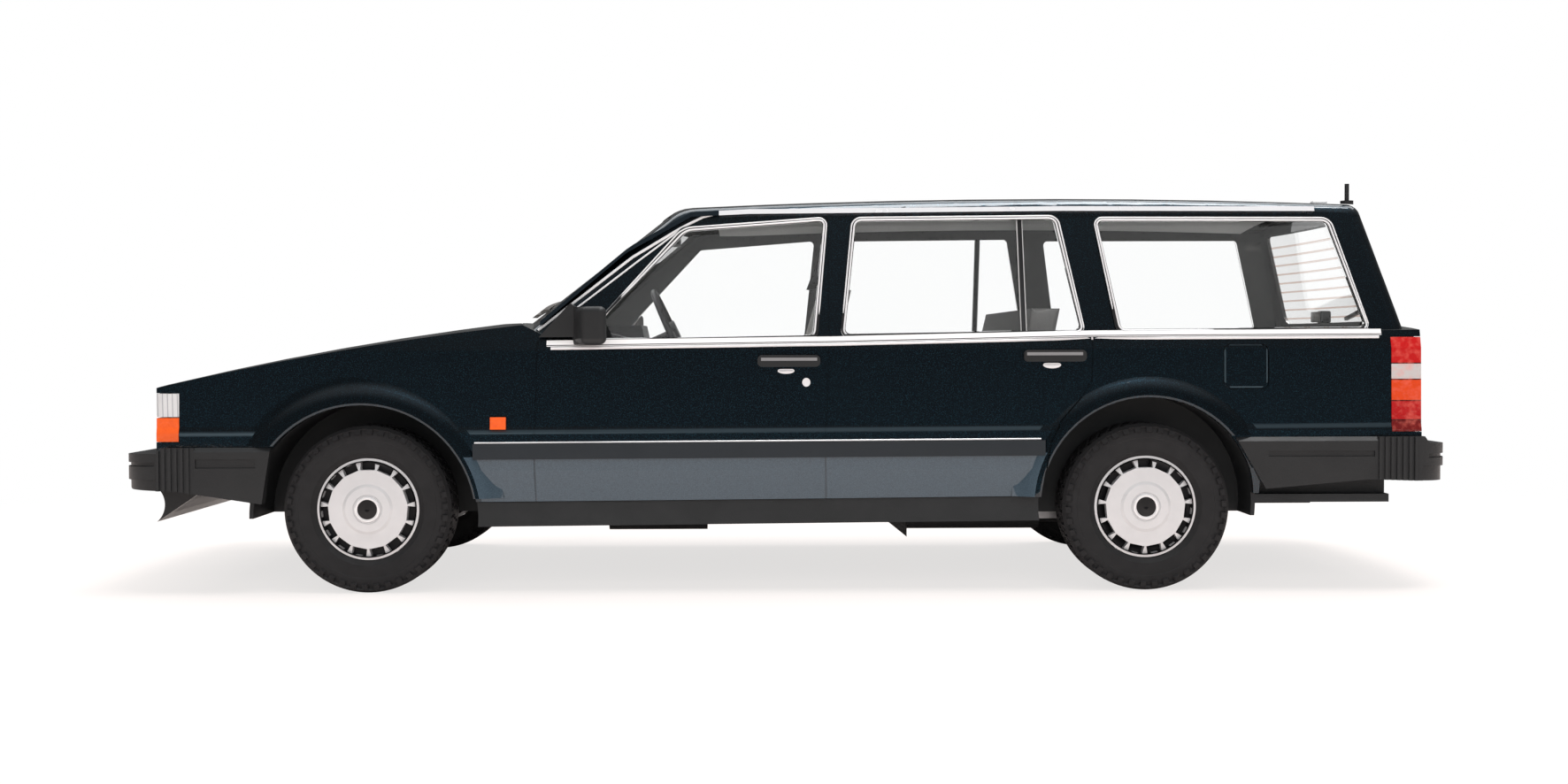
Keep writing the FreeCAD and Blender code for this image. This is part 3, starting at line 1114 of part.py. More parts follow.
def wheels():
    """Four tyres on covered wheels. Each wheel is drawn along +X from the middle of the tyre outwards."""
    half, out = "(tyre_width / 2)", "(tyre_width / 2 - cover_dish)"
    for end, axle in (("front", Places.front_axle), ("rear", Places.rear_axle)):
        for tag, sign in (("left", "-"), ("right", "")):
            mark = "%s_%s" % (end, tag)
            tyre = revolve("tyre_ring_" + mark, [
                ("-" + half + " + bead_radius * 0.06", "bead_radius"),
                ("-" + half, "bead_radius + (tyre_radius - bead_radius) * 0.45"),
                ("-" + half + " + tyre_shoulder", "tyre_radius - tyre_shoulder / 2"),
                ("-" + half + " + 2 * tyre_shoulder", "tyre_radius"),
                (half + " - 2 * tyre_shoulder", "tyre_radius"),
                (half + " - tyre_shoulder", "tyre_radius - tyre_shoulder / 2"),
                (half, "bead_radius + (tyre_radius - bead_radius) * 0.45"),
                (half + " - bead_radius * 0.06", "bead_radius"),
            ])
            disc = revolve("wheel_disc_" + mark, [
                ("-" + half + " + cover_dish", "bead_radius - rim_wall"),
                ("-" + half + " + cover_dish", "bead_radius - seat_gap / 5"),
                (out, "bead_radius - seat_gap / 5"),
                (out + " + cover_dish * 0.1", "slot_outer_radius + 0.4 * rim_wall"),
                (out + " - cover_dish * 0.2", "slot_outer_radius"),
                (out + " + cover_dish * 0.5", "slot_inner_radius"),
                (out + " + cover_dish * 0.62", "boss_ring_radius + 0.4 * rim_wall"),
                (out + " + cover_dish * 0.92", "boss_ring_radius - 0.4 * rim_wall"),
                (out + " + cover_dish * 0.98", "cap_radius + 0.5 * rim_wall"),
                (out + " + cover_dish * 0.78", "cap_radius + 0.2 * rim_wall"),
                (out + " + cover_dish * 0.78", "cap_radius"),
                (out + " + cover_dish * 1.15", "cap_radius - 0.3 * rim_wall"),
                (out + " + cover_dish * 1.25", "0"),
                (out + " - cover_wall", "0"),
                (out + " - cover_wall", "shaft_radius + running_gap"),
                ("-cover_dish", "shaft_radius + running_gap"),
                ("-cover_dish", "hub_radius"),
                (out + " - cover_wall - cover_dish", "hub_radius"),
                (out + " - cover_wall - cover_dish", "bead_radius - rim_wall"),
            ])
            slots = []
            for index in range(COVER_SLOTS):
                slot = doc.addObject("Part::Box", "wheel_slot_%s_%d" % (mark, index))
                slot.setExpression("Length", bound("tyre_width"))
                slot.setExpression("Width", bound("slot_width"))
                slot.setExpression("Height", bound("slot_outer_radius - slot_inner_radius"))
                turn = index * 360 / COVER_SLOTS
                across, along = "cos(%s deg)" % turn, "sin(%s deg)" % turn
                slot.setExpression("Placement.Base.y", bound(
                    "-slot_width / 2 * %s - slot_inner_radius * %s" % (across, along)))
                slot.setExpression("Placement.Base.z", bound(
                    "-slot_width / 2 * %s + slot_inner_radius * %s" % (along, across)))
                slot.Placement.Rotation = FreeCAD.Rotation(Vector(1, 0, 0), turn)
                slots.append(slot)
            cover = cut("wheel_cover_" + mark, disc, fuse("wheel_slots_" + mark, *slots))
            node("tyre_" + mark, place(tyre, axle, sign + Places.wheel_centre, "tyre_radius", OUTWARD[tag]))
            node("wheel_" + mark, place(cover, axle, sign + Places.wheel_centre, "tyre_radius", OUTWARD[tag]))


def running_gear():
    """Front beam with kingpins, steering knuckles and track rod, and the rear axle."""
    kingpin, axle, level = Places.kingpin, Places.front_axle, "tyre_radius"
    half = "(knuckle_size / 2)"
    top, bottom = "(%s + %s + side_gap)" % (level, half), "(%s - %s - side_gap)" % (level, half)
    jaws, holes = [], []
    for tag, sign in (("left", "-"), ("right", "")):
        reach = sorted([sign + "(%s + %s)" % (kingpin, half), sign + "(%s - %s - 4 * side_gap - jaw_thickness)"
                        % (kingpin, half)], key=value)
        web = sorted([sign + "(%s - %s - 4 * side_gap - jaw_thickness)" % (kingpin, half),
                      sign + "(%s - %s - 4 * side_gap)" % (kingpin, half)], key=value)
        across = (axle + " - beam_width / 2", axle + " + beam_width / 2")
        jaws.append(box("upper_jaw_" + tag, across, reach, (top, top + " + jaw_thickness")))
        jaws.append(box("jaw_web_" + tag, across, web, (bottom + " - jaw_thickness", top + " + jaw_thickness")))
        holes.append(rod("kingpin_hole_" + tag, "z", "kingpin_radius + running_gap", "0", "overall_height",
                         (axle, sign + kingpin)))
    span = "(%s + %s)" % (kingpin, half)
    lower = box("front_beam_bar", (axle + " - beam_width / 2", axle + " + beam_width / 2"),
                ("-" + span, span), (bottom + " - jaw_thickness", bottom))
    pads = [box("beam_pad_" + tag, (axle + " - beam_width / 2", axle + " + beam_width / 2"), ends,
                (bottom, "floor_height - seat_gap"))
            for tag, ends in (("left", ("-(0.45 * body_half_width)", "-(0.25 * body_half_width)")),
                              ("right", ("0.25 * body_half_width", "0.45 * body_half_width")))]
    node("front_crossmember", cut("front_beam", fuse("front_beam_solid", lower, *(jaws + pads)),
                                  fuse("kingpin_holes", *holes)))
    arm_low, arm_high = "(%s - %s)" % (level, half), "(%s - %s + jaw_thickness)" % (level, half)
    rod_high = "(%s - side_gap)" % arm_low
    rod_low = "(%s - rod_width)" % rod_high
    for tag, sign in (("left", "-"), ("right", "")):
        at = sign + kingpin
        block = box("knuckle_block_" + tag, (axle + " - " + half, axle + " + " + half),
                    (at + " - " + half, at + " + " + half), (level + " - " + half, level + " + " + half))
        pins = rod("kingpin_" + tag, "z", "kingpin_radius", bottom + " - jaw_thickness + seat_gap",
                   top + " + jaw_thickness - seat_gap", (axle, at))
        ends = sorted([at, sign + "(%s + tyre_width / 2 - cover_dish - cover_wall - side_gap)"
                       % Places.wheel_centre], key=value)
        stub = rod("stub_axle_" + tag, "y", "shaft_radius", ends[0], ends[1], (axle, level))
        arm = box("steering_arm_" + tag, (axle, axle + " + arm_length + rod_width / 2"),
                  (at + " - rod_width / 2", at + " + rod_width / 2"), (arm_low, arm_high))
        peg = rod("arm_peg_" + tag, "z", "peg_radius", rod_low + " + seat_gap", arm_high,
                  (axle + " + arm_length", at))
        node("knuckle_" + tag, fuse("knuckle_piece_" + tag, block, pins, stub, arm, peg))
    bar = box("track_rod_bar", (axle + " + arm_length - rod_width / 2 - 2 * running_gap",
                                axle + " + arm_length + rod_width / 2 + 2 * running_gap"),
              ("-(%s + 0.6 * rod_width)" % kingpin, kingpin + " + 0.6 * rod_width"), (rod_low, rod_high))
    eyes = [rod("rod_eye_left", "z", "peg_radius + running_gap", "0", "overall_height",
                (axle + " + arm_length", "-" + kingpin)),
            rod("rod_eye_right", "z", "peg_radius + 3 * running_gap", "0", "overall_height",
                (axle + " + arm_length", kingpin))]
    node("track_rod", cut("track_rod_piece", bar, fuse("rod_eyes", *eyes)))
    rear = Places.rear_axle
    reach = "(%s + tyre_width / 2 - cover_dish - cover_wall - side_gap)" % Places.wheel_centre
    inner = Places.inner_well
    tube = rod("axle_tube", "y", "2 * shaft_radius",
               "-(%s - side_gap)" % inner, inner + " - side_gap", (rear, level))
    shaft = rod("axle_shaft", "y", "shaft_radius", "-" + reach, reach, (rear, level))
    casing = doc.addObject("Part::Sphere", "axle_casing")
    casing.setExpression("Radius", bound("3.6 * shaft_radius"))
    casing.setExpression("Placement.Base.x", bound(rear))
    casing.setExpression("Placement.Base.z", bound(level))
    arms = [box("trailing_arm_" + tag, (cabin(0.78), rear), ends,
                ("floor_height - rod_width - seat_gap", "floor_height - seat_gap"))
            for tag, ends in (("left", ("-(0.58 * body_half_width)", "-(0.53 * body_half_width)")),
                              ("right", ("0.53 * body_half_width", "0.58 * body_half_width")))]
    node("rear_axle", fuse("rear_axle_piece", tube, shaft, casing, *arms))


for build in (body_shell, glazing, lamps, grille, bumpers, base_plate, exhaust, interior, side_trim,
              side_fittings, door_mirrors, wipers, aerial, wheels, running_gear):
    build()

doc.recompute()
faults = ["%s %s" % (thing.Name, thing.State) for thing in doc.Objects
          if "Invalid" in thing.State or "Error" in thing.State]
for name, thing in NODES.items():
    if thing.Shape.isNull() or not thing.Shape.isValid() or not thing.Shape.Solids:
        faults.append(name)
if faults:
    raise RuntimeError("Not built: " + ", ".join(faults))
os.makedirs("parts", exist_ok=True)
for name, thing in NODES.items():
    thing.Shape.exportStep("parts/%s.step" % name)
    print(name, len(thing.Shape.Solids), "solids", round(thing.Shape.Volume), "mm3")
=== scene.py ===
import math

import bmesh
import bpy
from mathutils import Matrix, Vector


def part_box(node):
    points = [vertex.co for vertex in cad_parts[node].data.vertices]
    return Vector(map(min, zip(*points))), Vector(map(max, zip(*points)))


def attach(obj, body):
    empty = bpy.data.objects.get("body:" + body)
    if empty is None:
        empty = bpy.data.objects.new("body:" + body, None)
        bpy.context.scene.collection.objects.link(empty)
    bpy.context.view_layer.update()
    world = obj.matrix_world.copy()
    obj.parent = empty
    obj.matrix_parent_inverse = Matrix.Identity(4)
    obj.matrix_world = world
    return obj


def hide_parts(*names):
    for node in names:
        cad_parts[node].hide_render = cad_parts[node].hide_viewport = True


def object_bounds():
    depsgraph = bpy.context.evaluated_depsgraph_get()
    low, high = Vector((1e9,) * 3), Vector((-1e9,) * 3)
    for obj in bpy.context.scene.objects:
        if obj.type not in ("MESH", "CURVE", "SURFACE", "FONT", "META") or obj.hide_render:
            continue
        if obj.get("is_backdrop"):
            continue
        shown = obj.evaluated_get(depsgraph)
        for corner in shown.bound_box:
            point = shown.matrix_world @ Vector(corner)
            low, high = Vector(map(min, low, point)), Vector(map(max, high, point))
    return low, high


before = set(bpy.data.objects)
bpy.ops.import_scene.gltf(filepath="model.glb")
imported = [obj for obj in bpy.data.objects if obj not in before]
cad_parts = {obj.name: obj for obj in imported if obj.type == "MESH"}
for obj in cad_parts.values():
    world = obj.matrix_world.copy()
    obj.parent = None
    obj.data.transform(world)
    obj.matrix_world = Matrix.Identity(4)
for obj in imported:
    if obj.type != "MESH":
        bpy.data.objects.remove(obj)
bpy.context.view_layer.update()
bpy.ops.object.select_all(action="DESELECT")
MM = 0.001

# Base plate.
# One black ABS moulding: the floor, the sills and the four wheel wells. It is screwed up into the
# casting from below, and keeps the fine matt grain of its mould.


def finish(name, colour, deeper, patch, rough, uneven, grain, depth, **fixed):
    """A surface of two close colours in soft patches, with uneven gloss and a fine grain, sizes in mm."""
    material = bpy.data.materials.new(name)
    material.use_nodes = True
    nodes, links = material.node_tree.nodes, material.node_tree.links
    shader = nodes["Principled BSDF"]
    place = nodes.new("ShaderNodeTexCoord").outputs["Object"]
    clouds = nodes.new("ShaderNodeTexNoise")
    clouds.inputs["Scale"].default_value = 1 / (patch * MM)
    clouds.inputs["Detail"].default_value = 3
    tint = nodes.new("ShaderNodeMix")
    tint.data_type = "RGBA"
    tint.inputs[6].default_value = (*colour, 1)
    tint.inputs[7].default_value = (*deeper, 1)
    gloss = nodes.new("ShaderNodeMapRange")
    gloss.inputs["To Min"].default_value = rough - uneven
    gloss.inputs["To Max"].default_value = rough + uneven
    grit = nodes.new("ShaderNodeTexNoise")
    grit.inputs["Scale"].default_value = 1 / (grain * MM)
    grit.inputs["Detail"].default_value = 2
    relief = nodes.new("ShaderNodeBump")
    relief.inputs["Distance"].default_value = depth * MM
    links.new(place, clouds.inputs["Vector"])
    links.new(place, grit.inputs["Vector"])
    links.new(clouds.outputs["Fac"], tint.inputs["Factor"])
    links.new(clouds.outputs["Fac"], gloss.inputs["Value"])
    links.new(grit.outputs["Fac"], relief.inputs["Height"])
    links.new(tint.outputs[2], shader.inputs["Base Color"])
    links.new(gloss.outputs["Result"], shader.inputs["Roughness"])
    links.new(relief.outputs["Normal"], shader.inputs["Normal"])
    for socket, number in fixed.items():
        shader.inputs[socket.replace("_", " ")].default_value = number
    return material


def dress(material, *names):
    """Gives CAD nodes their finish."""
    for name in names:
        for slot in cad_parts[name].material_slots:
            slot.material = material


chassis_black = finish("chassis_black", (0.026, 0.028, 0.030), (0.018, 0.020, 0.021), 6, 0.55, 0.08, 0.18,
                       0.02, Specular_IOR_Level=0.22)
dress(chassis_black, "base_plate")

# Running gear and exhaust.
# A moulded front beam and knuckles, a turned rear axle, a pressed track rod and a dark grey moulded
# exhaust. The beam and knuckles clip together; the exhaust is glued up under the floor.

gear_black = finish("gear_black", (0.012, 0.012, 0.014), (0.008, 0.008, 0.009), 4, 0.48, 0.08, 0.15, 0.015,
                    Specular_IOR_Level=0.25)
axle_steel = finish("axle_steel", (0.42, 0.43, 0.44), (0.30, 0.31, 0.32), 2, 0.34, 0.08, 0.1, 0.01,
                    Metallic=1.0)
pipe_grey = finish("pipe_grey", (0.020, 0.021, 0.022), (0.013, 0.014, 0.015), 3, 0.45, 0.1, 0.12, 0.02,
                   Specular_IOR_Level=0.3)
dress(gear_black, "front_crossmember", "knuckle_left", "knuckle_right", "track_rod")
dress(axle_steel, "rear_axle")
dress(pipe_grey, "exhaust")

# Wheels.
# Silver-lacquered ABS wheel covers with a ring of slots round the rim, pressed on to steel stub
# axles. The lacquer is a fine satin aluminium that goes slightly darker where it pools.

wheel_radius, wheel_y, front_axle_x, rear_axle_x = 16.6 * MM, 40.7 * MM, -83.0 * MM, 70.9 * MM
outer_step, cap_reach = 3 * MM, 1.95 * MM


def opened(material):
    """A finish's nodes and links, and the three axes of its Object coordinates."""
    nodes, links = material.node_tree.nodes, material.node_tree.links
    axes = nodes.new("ShaderNodeSeparateXYZ")
    links.new(nodes.new("ShaderNodeTexCoord").outputs["Object"], axes.inputs["Vector"])
    return nodes, links, axes


def blend_of(one, other, factor):
    """A colour mix whose factor is another node's output."""
    mix = nodes.new("ShaderNodeMix")
    mix.data_type = "RGBA"
    for socket, colour in ((6, one), (7, other)):
        if isinstance(colour, tuple):
            mix.inputs[socket].default_value = (*colour, 1)
        else:
            links.new(colour, mix.inputs[socket])
    links.new(factor, mix.inputs["Factor"])
    return mix.outputs[2]


def sum_of(operation, *terms):
    """A maths node on outputs or numbers."""
    node = nodes.new("ShaderNodeMath")
    node.operation = operation
    for socket, term in zip(node.inputs, terms):
        if isinstance(term, (int, float)):
            socket.default_value = term
        else:
            links.new(term, socket)
    return node.outputs[0]


def reach_from(x, z, axes):
    """Distance in side view from a place on the car."""
    along, height = sum_of("SUBTRACT", axes.outputs["X"], x), sum_of("SUBTRACT", axes.outputs["Z"], z)
    return sum_of("SQRT", sum_of("ADD", sum_of("MULTIPLY", along, along), sum_of("MULTIPLY", height, height)))


def colour_by(material, chosen, colour):
    """Paints another colour where the factor is one, over what the finish already has."""
    shader = material.node_tree.nodes["Principled BSDF"]
    under = shader.inputs["Base Color"].links[0].from_socket
    links.new(blend_of(under, colour, chosen), shader.inputs["Base Color"])


wheel_silver = finish("wheel_silver", (0.62, 0.62, 0.63), (0.55, 0.55, 0.56), 3, 0.34, 0.05, 0.06, 0.006,
                      Metallic=0.2)
nodes, links, axes = opened(wheel_silver)
hub_reach = sum_of("MINIMUM", reach_from(front_axle_x, wheel_radius, axes),
                   reach_from(rear_axle_x, wheel_radius, axes))
outer_face = sum_of("GREATER_THAN", sum_of("ABSOLUTE", axes.outputs["Y"]), wheel_y + outer_step)
cap_disc = sum_of("MULTIPLY", outer_face, sum_of("LESS_THAN", hub_reach, cap_reach))
colour_by(wheel_silver, cap_disc, (0.004, 0.004, 0.005))
dress(wheel_silver, "wheel_front_left", "wheel_front_right", "wheel_rear_left", "wheel_rear_right")

# Tyres.
# Soft matt PVC road tyres with a full tread: five block ribs between grooves, and staggered lugs
# that wrap over each shoulder. They are stretched over the wheel rims.

tread_floor_radius, tread_width, lug_height, around = 16.02 * MM, 8.2 * MM, 0.55 * MM, 168
# distance from the middle plane and radius of each ring, from shoulder to bead, in mm
sidewall = ((4.75, 15.55), (5.08, 14.75), (5.15, 13.9), (5.15, 13.75), (5.07, 13.6), (5.12, 12.6), (4.98, 11.5),
            (4.98, 11.2), (4.85, 11.1), (4.45, 10.35), (4.2, 10.16))
tread_cuts = (-3.3, -2.8, -1.25, -0.8, 0.8, 1.25, 2.8, 3.3)
wheel_places = (("front_left", front_axle_x, -1), ("front_right", front_axle_x, 1),
                ("rear_left", rear_axle_x, -1), ("rear_right", rear_axle_x, 1))


def edit(piece, kind="FACE"):
    """Opens a piece in edit mode with nothing selected."""
    bpy.context.view_layer.objects.active = piece
    piece.select_set(True)
    bpy.ops.object.mode_set(mode="EDIT")
    bpy.ops.mesh.select_mode(type=kind)
    bpy.ops.mesh.select_all(action="DESELECT")


def pick(piece, faces=None, edges=None):
    """Selects the faces or edges for which the test on their middle is true."""
    mesh = bmesh.from_edit_mesh(piece.data)
    for face in mesh.faces:
        face.select_set(bool(faces) and faces(face.calc_center_median(), face))
    if edges:
        for edge in mesh.edges:
            if edges((edge.verts[0].co + edge.verts[1].co) / 2, edge):
                edge.select_set(True)
    mesh.select_flush(True)
    bmesh.update_edit_mesh(piece.data)


def close_up(piece):
    """Leaves edit mode with clean outward normals."""
    bpy.ops.mesh.select_all(action="SELECT")
    bpy.ops.mesh.remove_doubles(threshold=0.002 * MM)
    bpy.ops.mesh.normals_make_consistent(inside=False)
    bpy.ops.object.mode_set(mode="OBJECT")
    bpy.ops.object.select_all(action="DESELECT")


def smooth(piece, degrees):
    """Shades a finished piece smooth, but for edges sharper than the angle, and lets go of it."""
    piece.select_set(True)
    bpy.context.view_layer.objects.active = piece
    bpy.ops.object.shade_smooth_by_angle(angle=math.radians(degrees))
    bpy.ops.object.select_all(action="DESELECT")


bpy.ops.mesh.primitive_cylinder_add(vertices=around, radius=tread_floor_radius, depth=tread_width,
                                    end_fill_type="NOTHING", rotation=(math.pi / 2, 0, 0))
tyre = bpy.context.active_object
tyre.name = "tyre"
bpy.ops.object.transform_apply(location=False, rotation=True, scale=False)
edit(tyre, "EDGE")
for side in (-1, 1):
    reach, radius = tread_width / 2, tread_floor_radius
    pick(tyre, edges=lambda middle, edge: edge.is_boundary and middle.y * side > 0)
    for out, ring in sidewall:
        bpy.ops.mesh.extrude_edges_move()
        bpy.ops.transform.resize(value=(ring * MM / radius, 1, ring * MM / radius), center_override=(0, 0, 0))
        bpy.ops.transform.translate(value=(0, side * (out * MM - reach), 0))
        reach, radius = out * MM, ring * MM
pick(tyre, edges=lambda middle, edge: edge.is_boundary)
bpy.ops.mesh.bridge_edge_loops()
for cut in tread_cuts:
    pick(tyre, faces=lambda middle, face: abs(middle.y) < tread_width / 2 and middle.xz.length > 14 * MM)
    bpy.ops.mesh.bisect(plane_co=(0, cut * MM, 0), plane_no=(0, 1, 0))
lug_turn = 2 * math.pi / around
centre_rib, inner_groove, inner_rib, outer_groove = tread_cuts[4:]
block_rib, outer_rib, shoulder_turn, tread_foot, shoulder_foot = 4.1, 4.5, 4.95, 14.6, 14.8

# The rows of the tread, from one shoulder to the other: how far across each one reaches, and which of
# every four steps round stand up in it.
tread_rows = ((-block_rib, (0, 1, 2, 3)), (-outer_groove, (0, 2)), (-inner_rib, ()),
              (-inner_groove, (0, 2, 3)), (-centre_rib, (2, 3)), (centre_rib, (1, 2, 3)),
              (inner_groove, (1, 2)), (inner_rib, (0, 1, 2)), (outer_groove, (0, 1)),
              (outer_rib, (0, 1, 2, 3)))


def is_lug(middle):
    """True where the tread stands up: in its rows, and on the staggered lugs of each shoulder."""
    step = int(math.atan2(middle.z, middle.x) / lug_turn + around) % 4
    across, radius = middle.y / MM, math.hypot(middle.x, middle.z) / MM
    if radius < tread_foot:
        return False
    if abs(across) < outer_rib:
        return step in next(steps for edge, steps in tread_rows if across < edge)
    return radius > shoulder_foot and step in ((0, 1) if abs(across) < shoulder_turn else (2, 3))


# The lugs are picked from a clean start, because the cuts leave the faces in a changing order.
bpy.ops.mesh.select_all(action="DESELECT")
for face in bmesh.from_edit_mesh(tyre.data).faces:
    if is_lug(face.calc_center_median()):
        face.select_set(True)
bmesh.update_edit_mesh(tyre.data)
bpy.ops.mesh.extrude_region_shrink_fatten(TRANSFORM_OT_shrink_fatten={"value": lug_height})
close_up(tyre)

rubber = finish("tyre_rubber", (0.021, 0.021, 0.022), (0.014, 0.014, 0.015), 2.5, 0.66, 0.07, 0.12, 0.02,
                Specular_IOR_Level=0.2)
tyre.data.materials.append(rubber)
for name, x, side in wheel_places:
    piece = tyre.copy()
    piece.data = tyre.data.copy()
    piece.name = "road_tyre_" + name
    bpy.context.collection.objects.link(piece)
    piece.data.transform(Matrix.Translation((x, side * wheel_y, wheel_radius)))
    smooth(piece, 28)
    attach(piece, name.replace("_", "_wheel_"))
    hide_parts("tyre_" + name)
bpy.data.objects.remove(tyre)

# Slot shade rings.
# A matt black ring behind the slots of each wheel cover, put there as painted shade where the real
# rim lies in shadow. It is pressed in against the back of the cover.

back_inner, back_outer, back_near, back_far = 7.0 * MM, 9.38 * MM, 2.2 * MM, 2.56 * MM
for name, x, side in wheel_places:
    bpy.ops.mesh.primitive_cylinder_add(vertices=64, radius=back_outer, depth=back_far - back_near,
                                        end_fill_type="NGON", rotation=(math.pi / 2, 0, 0))
    back = bpy.context.active_object
    back.name = "slot_shade_" + name
    bpy.ops.object.transform_apply(location=False, rotation=True, scale=False)
    edit(back)
    pick(back, faces=lambda middle, face: abs(face.normal.y) > 0.9)
    bpy.ops.mesh.inset(thickness=back_outer - back_inner, use_individual=True)
    bpy.ops.mesh.bridge_edge_loops()
    bpy.ops.object.mode_set(mode="OBJECT")
    bpy.ops.transform.translate(value=(x, side * (wheel_y + (back_near + back_far) / 2), wheel_radius))
    bpy.ops.object.transform_apply(location=True, rotation=False, scale=False)
    edit(back)
    close_up(back)
    smooth(back, 30)
    back.data.materials.append(gear_black)
    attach(back, name.replace("_", "_wheel_"))

# Cap rings.
# A vacuum-plated plastic ring round the plain dark disc in the middle of each wheel cover, with a
# narrow land inside and outside. It is pressed in and glued.

ring_reach, ring_body, ring_sunk, ring_land, land_rise = 2.25 * MM, 0.27 * MM, 0.22 * MM, 0.12 * MM, 0.04 * MM
cap_chrome = finish("cap_chrome", (0.85, 0.85, 0.86), (0.70, 0.70, 0.71), 1, 0.2, 0.05, 0.2, 0.004,
                    Metallic=0.3)
for name, x, side in wheel_places:
    wheel_low, wheel_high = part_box("wheel_" + name)
    cap_face_y = wheel_low.y if side < 0 else wheel_high.y
    bpy.ops.mesh.primitive_torus_add(major_segments=48, minor_segments=10, major_radius=ring_reach,
                                     minor_radius=ring_body, rotation=(math.pi / 2, 0, 0),
                                     location=(x, cap_face_y - side * ring_sunk, wheel_radius))
    piece = bpy.context.active_object
    piece.name = "cap_ring_" + name
    edit(piece)
    pick(piece, faces=lambda middle, face: abs(middle.z) < ring_land)
    bpy.ops.mesh.extrude_region_shrink_fatten(TRANSFORM_OT_shrink_fatten={"value": land_rise})
    close_up(piece)
    piece.select_set(True)
    bpy.ops.object.transform_apply(location=True, rotation=True, scale=True)
    smooth(piece, 40)
    piece.data.materials.append(cap_chrome)
    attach(piece, name.replace("_", "_wheel_"))

# Cabin.
# A grey ABS tub with door cards and load floor, a black dashboard and steering wheel, and a pale
# headlining. The front seats are light with black headrests, the bench is dark. All of it drops into
# the casting before the base plate.

cabin_grey = finish("cabin_grey", (0.11, 0.113, 0.116), (0.085, 0.088, 0.092), 8, 0.62, 0.06, 0.2, 0.03)
cabin_black = finish("cabin_black", (0.012, 0.0125, 0.014), (0.008, 0.0085, 0.010), 5, 0.5, 0.08, 0.15, 0.02,
                     Specular_IOR_Level=0.3)
seat_cloth = finish("seat_cloth", (0.46, 0.45, 0.43), (0.38, 0.37, 0.355), 1.6, 0.78, 0.06, 0.22, 0.06)
nodes, links, axes = opened(seat_cloth)
headrest_foot, bench_front = 61.0 * MM, 20.0 * MM
headrest = sum_of("MULTIPLY", sum_of("GREATER_THAN", axes.outputs["Z"], headrest_foot),
                  sum_of("LESS_THAN", axes.outputs["X"], bench_front))
colour_by(seat_cloth, headrest, (0.014, 0.014, 0.015))
colour_by(seat_cloth, sum_of("GREATER_THAN", axes.outputs["X"], bench_front), (0.10, 0.098, 0.095))
lining_grey = finish("lining_grey", (0.80, 0.80, 0.78), (0.74, 0.74, 0.72), 6, 0.75, 0.05, 0.2, 0.02)
dress(cabin_grey, "interior_tub")
dress(cabin_black, "dashboard", "steering_wheel", "interior_mirror")
dress(seat_cloth, "front_seat_left", "front_seat_right", "rear_bench")
dress(lining_grey, "roof_lining")

# Body casting.
# One zinc casting sprayed in a very dark blue-green metallic under clear lacquer, with engraved shut
# lines and a crease above the rub strips. Below the strips, between the arches, a duller slate band is
# painted reflection of the white floor in the lower sides; a lighter line along the crease and the
# fuel flap's edge are painted highlights. The inside of the cabin is a plain grey.

body_paint = bpy.data.materials.new("body_paint")
body_paint.use_nodes = True
nodes, links = body_paint.node_tree.nodes, body_paint.node_tree.links
shader = nodes["Principled BSDF"]
place = nodes.new("ShaderNodeTexCoord").outputs["Object"]
flake_size, peel_size, peel_depth = 0.12 * MM, 1.1 * MM, 0.0025 * MM
flake = nodes.new("ShaderNodeTexVoronoi")
flake.inputs["Scale"].default_value = 1 / flake_size
links.new(place, flake.inputs["Vector"])
sparkle = nodes.new("ShaderNodeSeparateColor")
links.new(flake.outputs["Color"], sparkle.inputs["Color"])
sorted_flake = nodes.new("ShaderNodeMapRange")
sorted_flake.inputs["From Min"].default_value = 0.8
links.new(sparkle.outputs["Red"], sorted_flake.inputs["Value"])
deep_teal = blend_of((0.0032, 0.0105, 0.0175), (0.012, 0.042, 0.060), sorted_flake.outputs["Result"])
# painted reflection: the slate colour stands for the white floor mirrored in the lower sides
slate_reflection = blend_of((0.028, 0.047, 0.064), (0.046, 0.074, 0.098), sparkle.outputs["Green"])
axes = nodes.new("ShaderNodeSeparateXYZ")
links.new(place, axes.inputs["Vector"])
band_top, band_rise = 27.3 * MM, 0.0045
# middle in side view and reach of the lip of each arch
arches = ((-83.7 * MM, 14.9 * MM, 23.5 * MM), (71.0 * MM, 17.1 * MM, 22.6 * MM))
rise = sum_of("MULTIPLY", axes.outputs["X"], band_rise)
below = sum_of("LESS_THAN", axes.outputs["Z"], sum_of("ADD", band_top, rise))
between = sum_of("MULTIPLY", sum_of("GREATER_THAN", axes.outputs["X"], arches[0][0]),
                 sum_of("LESS_THAN", axes.outputs["X"], arches[1][0]))
slate_reflection_band = sum_of("MULTIPLY", below, between)
for x, z, lip_reach in arches:
    slate_reflection_band = sum_of("MULTIPLY", slate_reflection_band, sum_of("GREATER_THAN", reach_from(x, z, axes), lip_reach))
painted = blend_of(deep_teal, slate_reflection, slate_reflection_band)
# painted highlight: a lighter line along the crease, kept off the arch flares
crease_z, crease_edge, crease_core, flare_width = 32.15 * MM, 0.62 * MM, 0.15 * MM, 3.5 * MM
crease_highlight_fade = nodes.new("ShaderNodeMapRange")
crease_highlight_fade.interpolation_type = "SMOOTHSTEP"
crease_highlight_fade.inputs["From Min"].default_value = crease_edge
crease_highlight_fade.inputs["From Max"].default_value = crease_core
crease_highlight_fade.inputs["To Max"].default_value = 0.8
off_crease = sum_of("SUBTRACT", axes.outputs["Z"], sum_of("ADD", crease_z, rise))
links.new(sum_of("ABSOLUTE", off_crease), crease_highlight_fade.inputs["Value"])
crease_highlight = crease_highlight_fade.outputs["Result"]
for x, z, lip_reach in arches:
    off_flare = sum_of("GREATER_THAN", reach_from(x, z, axes), lip_reach + flare_width)
    crease_highlight = sum_of("MULTIPLY", crease_highlight, off_flare)
painted = blend_of(painted, (0.085, 0.13, 0.16), crease_highlight)
